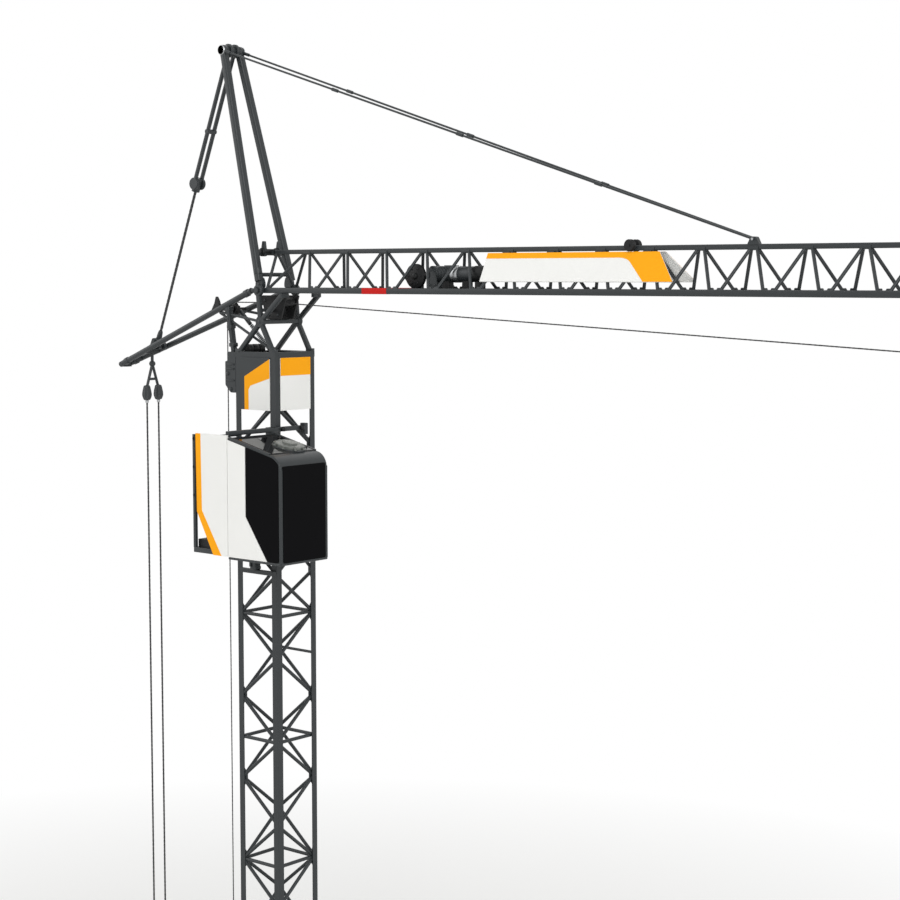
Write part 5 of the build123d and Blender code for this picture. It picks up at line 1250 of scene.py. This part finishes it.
class CRANE_OT_boards(Operator):
    """Sign boards on both sides of the jib and the wheels on its top chord"""
    bl_idname = "crane.boards"
    bl_label = "Jib boards"

    def execute(self, context):
        s = sizes()
        lift, board = s["print_rise"], 0.5
        slope = np.hypot(JIB_RISE, JIB_HALF) / JIB_RISE
        low, high, line = 3.2, 13.4, 11.4
        ends = [(194.4, low), (185.6, high), (111.2, high)]
        bend = bent(np.array([169.5, line]), np.array([173.2, line]), np.array([175.2, 9.5]), 7)
        whole = np.array([(111.6, low)] + ends)
        ink = np.concatenate([[(111.3, line)], bend, [(182.4, low)], ends])
        white, orange, clips = [], [], []
        for side in BOTH:
            out = unit(np.array([0, side * JIB_RISE, JIB_HALF]))
            up = unit(np.array([0, -side * JIB_HALF, JIB_RISE]))
            origin = at(0, side * JIB_HALF, 0)
            for outline, base, thick, into in ((whole, 0.0, board - lift, white),
                                               (ink, board - 0.01 - lift, lift + 0.01, orange)):
                flat = outline * [-side, slope]
                flat = flat[::-1] if side > 0 else flat
                foot = origin + out * (s["jib_lace"] / 2 + base)
                into.append(plate(flat, foot, -X * side, out * thick))
            for x in (119.0, 139.0, 160.0, 180.0):
                spot = origin + X * x + up * 13.6 * slope + out * 0.1
                clips.append(carried(spot - X * 1.6, spot + X * 1.6, rounded(1.0, 1.6, 0.25), out))
        finish_piece("jib_sign_boards", dict(white=white, orange=orange, paint=clips), "jib",
                     ["jib_boards"])
        wheel_x, wheel_rise = 173.4, JIB_RISE + 0.9
        wheel_line = mirrored([[0.8, -0.9], [1.9, -0.9], [2.1, -0.65], [1.7, -0.2]], ENDWISE)
        black = [turned(wheel_line, at(wheel_x, side * 1.8, wheel_rise), Y, s["wheel_steps"])
                 for side in BOTH]
        black.append(cross_bar(wheel_x, wheel_rise, 2.9, 1.0, 14))
        finish_piece("jib_top_rollers", dict(plastic=black), "jib", ["jib_top_sheaves"])
        return {"FINISHED"}


class CRANE_OT_trolley(Operator):
    """Trolley, hoist rope, hook block and hook"""
    bl_idname = "crane.trolley"
    bl_label = "Trolley and hook"

    def execute(self, context):
        s = sizes()
        half, inside = 9.0, JIB_HALF + 1.1
        wall, outer = inside + 0.75, inside + 1.95
        floor, drop, sheave_place = -5.2, -15.65, half - 2.6
        wall_line = mirrored([(2.0 - half, 1.1), (-half, -1.2), (-half, floor)], ACROSS)
        wall_line = softened(wall_line, 0.6) + [TROLLEY_X, 0]
        cheek = mirrored([(1.0 - half, -4.4), (0.2 - half, -14.6), (2.0 - half, -16.85)], ACROSS)
        cheek = softened(cheek, 1.0) + [TROLLEY_X, 0]
        steel = [near_box(TROLLEY_X - half, TROLLEY_X + half, -outer, outer, floor, floor + 1.2, 0.6)]
        steel += side_plates(wall_line, wall, outer) + side_plates(cheek, 1.3, 2.5)
        wheels, pins = [], []
        for end in BOTH:
            x = TROLLEY_X + end * (half - 1.5)
            for side in BOTH:
                wheel = at(x, side * (inside + 0.375), 0)
                wheels.append(turned(rim(0.4, 1.4, 1.5, 0.37, 0.2), wheel, Y, 28))
                pins.append(dome(at(x, side * (outer - 0.05), -0.4), Y * side, 0.6, 0.05))
            x = TROLLEY_X + end * sheave_place
            wheels.append(sheave(2.1, 0.5, 2.0, at(x, 0, drop), s["wheel_steps"]))
            pins.append(cross_bar(x, drop, 2.9, 1.4, 16))
        finish_piece("trolley_carriage", dict(paint=steel, plastic=wheels, pin=pins), "jib",
                     ["trolley"], s["edge"])
        top = drop - 9.6
        low, reel_rise = top - 6.0, top - 2.6
        cheek = mirrored([(-3.5, top - 0.4), (-3.0, low + 1.0), (-1.4, low)], ACROSS)
        cheek = softened(cheek, 0.6) + [TROLLEY_X, 0]
        reel_line = [[0.6, -0.7], [2.3, -0.7], [2.5, -0.5], [2.2, 0], [2.5, 0.5], [2.3, 0.7], [0.6, 0.7]]
        reel = turned(reel_line, at(TROLLEY_X, 0, reel_rise), Y, 36)
        pins = [cross_bar(TROLLEY_X, reel_rise, 1.5, 1.2, 14)]
        pins.append(round_bars(at(TROLLEY_X, 0, low + 0.6), at(TROLLEY_X, 0, low - 3.4), 1.4, 16))
        # the hook is a round bar on an arc of more than half a turn, thinner towards its point
        centre, bow, count = at(TROLLEY_X, 0, low - 4.9), 1.9, 26
        turn = np.linspace(np.pi * 0.5, -np.pi * 0.92, count)
        out = np.stack([np.cos(turn), 0 * turn, np.sin(turn)], axis=1)
        thick = 0.7 - 0.32 * np.linspace(0, 1, count) ** 3
        ring = circle(1.0, 12)
        across = out[:, None] * ring[None, :, :1] - Y * ring[None, :, 1:]
        pins.append(rings_to_shape((centre + out * bow)[:, None] + across * thick[:, None, None]))
        looks = dict(paint=side_plates(cheek, 0.75, 1.5), plastic=[reel], pin=pins)
        finish_piece("hook_and_block", looks, "jib", ["hook_block"])
        lines = [(HEAD_X, ROPE_LEVEL, TROLLEY_X - sheave_place, -18.5)]
        lines += [(TROLLEY_X + side * 3.0, top - 1.6, TROLLEY_X + side * 3.0, floor) for side in BOTH]
        ropes = [laid_rope(at(x0, 0, rise0), at(x1, 0, rise1), s["rope"], s["lay"])
                 for x0, rise0, x1, rise1 in lines]
        finish_piece("hoist_rope_strands", dict(thread=ropes), "jib", ["hoist_rope"])
        return {"FINISHED"}


# stage
def seen_directly(tree):
    """One for rays from the camera, off a gloss or through a clear surface, and zero for all others."""
    path = add(tree, "ShaderNodeLightPath").outputs
    seen = path["Is Camera Ray"]
    for kind in ("Is Glossy Ray", "Is Transmission Ray"):
        seen = add(tree, "ShaderNodeMath", {0: seen, 1: path[kind]}, operation="MAXIMUM").outputs[0]
    return seen


def put(name, data, back, spot):
    """Places a lamp or camera, level across, so that it looks against the direction back."""
    right = unit(np.cross(Z, back))
    rows = np.column_stack([right, np.cross(back, right), back, spot]).tolist()
    made = bpy.data.objects.new(name, data)
    made.matrix_world = Matrix(rows + [[0, 0, 0, 1]])
    bpy.context.scene.collection.objects.link(made)
    return made


class CRANE_OT_stage(Operator):
    """Pale floor, soft light, white surroundings and the camera"""
    bl_idname = "crane.stage"
    bl_label = "Stage"

    def execute(self, context):
        scene = context.scene
        white = (1, 1, 1, 1)
        # White card under the model: it turns plain white between two distances from the base, in metres.
        radius, edge_steps, fade_start, fade_end = 60.0, 96, 0.25, 0.6
        look = bpy.data.materials.new("matt_white_card")
        look.use_nodes = True
        tree = look.node_tree
        tree.nodes.clear()
        place = add(tree, "ShaderNodeTexCoord").outputs["Object"]
        far = add(tree, "ShaderNodeVectorMath", {0: place}, operation="LENGTH")
        fade = add(tree, "ShaderNodeMapRange", {"Value": far.outputs["Value"], "From Min": fade_start,
                                                "From Max": fade_end})
        share = add(tree, "ShaderNodeMath", {0: fade.outputs["Result"], 1: seen_directly(tree)},
                    operation="MULTIPLY")
        card = add(tree, "ShaderNodeBsdfDiffuse", {"Color": tuple(scene.crane_colours.floor) + (1.0,)})
        glow = add(tree, "ShaderNodeEmission", {"Color": white, "Strength": 1.0})
        both = add(tree, "ShaderNodeMixShader", {0: share.outputs[0], 1: card.outputs[0], 2: glow.outputs[0]})
        add(tree, "ShaderNodeOutputMaterial", {"Surface": both.outputs[0]})
        mesh = bpy.data.meshes.new("floor")
        disc = np.column_stack([circle(radius, edge_steps), np.zeros(edge_steps)])
        mesh.from_pydata(disc.tolist(), [], [tuple(range(edge_steps))])
        mesh.materials.append(look)
        floor = bpy.data.objects.new("floor", mesh)
        scene.collection.objects.link(floor)
        # The surroundings are plain white to the eye and dimmer as a source of light.
        light_level, seen_level = 0.52, 1.0
        world = bpy.data.worlds.new("white_studio")
        scene.world = world
        world.use_nodes = True
        tree = world.node_tree
        tree.nodes.clear()
        level = add(tree, "ShaderNodeMapRange", {"Value": seen_directly(tree), "To Min": light_level,
                                                 "To Max": seen_level})
        sky = add(tree, "ShaderNodeBackground", {"Color": white, "Strength": level.outputs["Result"]})
        add(tree, "ShaderNodeOutputWorld", {"Surface": sky.outputs[0]})
        # Square lamps: place in metres, width and watts.
        aim = np.array([0.12, 0.0, 0.3])
        for name, spot, wide, watts in (("key_softbox", (1.25, -0.95, 0.95), 1.1, 13.8),
                                        ("fill_softbox", (-1.2, -0.7, 0.9), 1.0, 5.0),
                                        ("top_softbox", (0.1, 0.5, 1.7), 1.2, 5.0)):
            lamp = bpy.data.lights.new(name, "AREA")
            lamp.shape = "SQUARE"
            lamp.size = wide
            lamp.energy = watts
            put(name, lamp, unit(np.array(spot) - aim), spot)
        # The photo's camera, as fitted to its bays: turn and tilt in degrees, eye in millimetres.
        turn, tilt = math.radians(40.058), math.radians(5.142)
        eye = np.array([571.63, -546.96, 365.45])
        back = np.array([math.sin(turn) * math.cos(tilt), -math.cos(turn) * math.cos(tilt), math.sin(tilt)])
        camera = bpy.data.cameras.new("photo_camera")
        camera.sensor_width = 36.0
        camera.lens = 77.10
        camera.clip_start = 0.01
        camera.clip_end = 200.0
        scene.camera = put("photo_camera", camera, back, eye * MM)
        scene.view_settings.view_transform = "Standard"
        return {"FINISHED"}


# panel and registration
STEPS = (CRANE_OT_base, CRANE_OT_deck, CRANE_OT_tower, CRANE_OT_head, CRANE_OT_signs, CRANE_OT_strut,
         CRANE_OT_ropes, CRANE_OT_cab, CRANE_OT_platform, CRANE_OT_jib, CRANE_OT_mast, CRANE_OT_luffing,
         CRANE_OT_winch, CRANE_OT_boards, CRANE_OT_trolley, CRANE_OT_stage)


class CRANE_PT_sidebar(Panel):
    """Lists the steps, sizes and colours of the crane"""
    bl_idname = "CRANE_PT_sidebar"
    bl_label = "Tower crane"
    bl_space_type = "VIEW_3D"
    bl_region_type = "UI"
    bl_category = "Crane"

    def draw(self, context):
        for step in STEPS:
            self.layout.operator(step.bl_idname)
        for group in (context.scene.crane_sizes, context.scene.crane_colours):
            for name in group.__annotations__:
                self.layout.prop(group, name)


CLASSES = (CraneSizes, CraneColours) + STEPS + (CRANE_PT_sidebar,)


def register():
    for item in CLASSES:
        bpy.utils.register_class(item)
    bpy.types.Scene.crane_sizes = PointerProperty(type=CraneSizes)
    bpy.types.Scene.crane_colours = PointerProperty(type=CraneColours)


def unregister():
    del bpy.types.Scene.crane_colours
    del bpy.types.Scene.crane_sizes
    for item in reversed(CLASSES):
        bpy.utils.unregister_class(item)


def main():
    register()
    for step in STEPS:
        family, name = step.bl_idname.split(".")
        getattr(getattr(bpy.ops, family), name)()


if __name__ == "__main__":
    main()
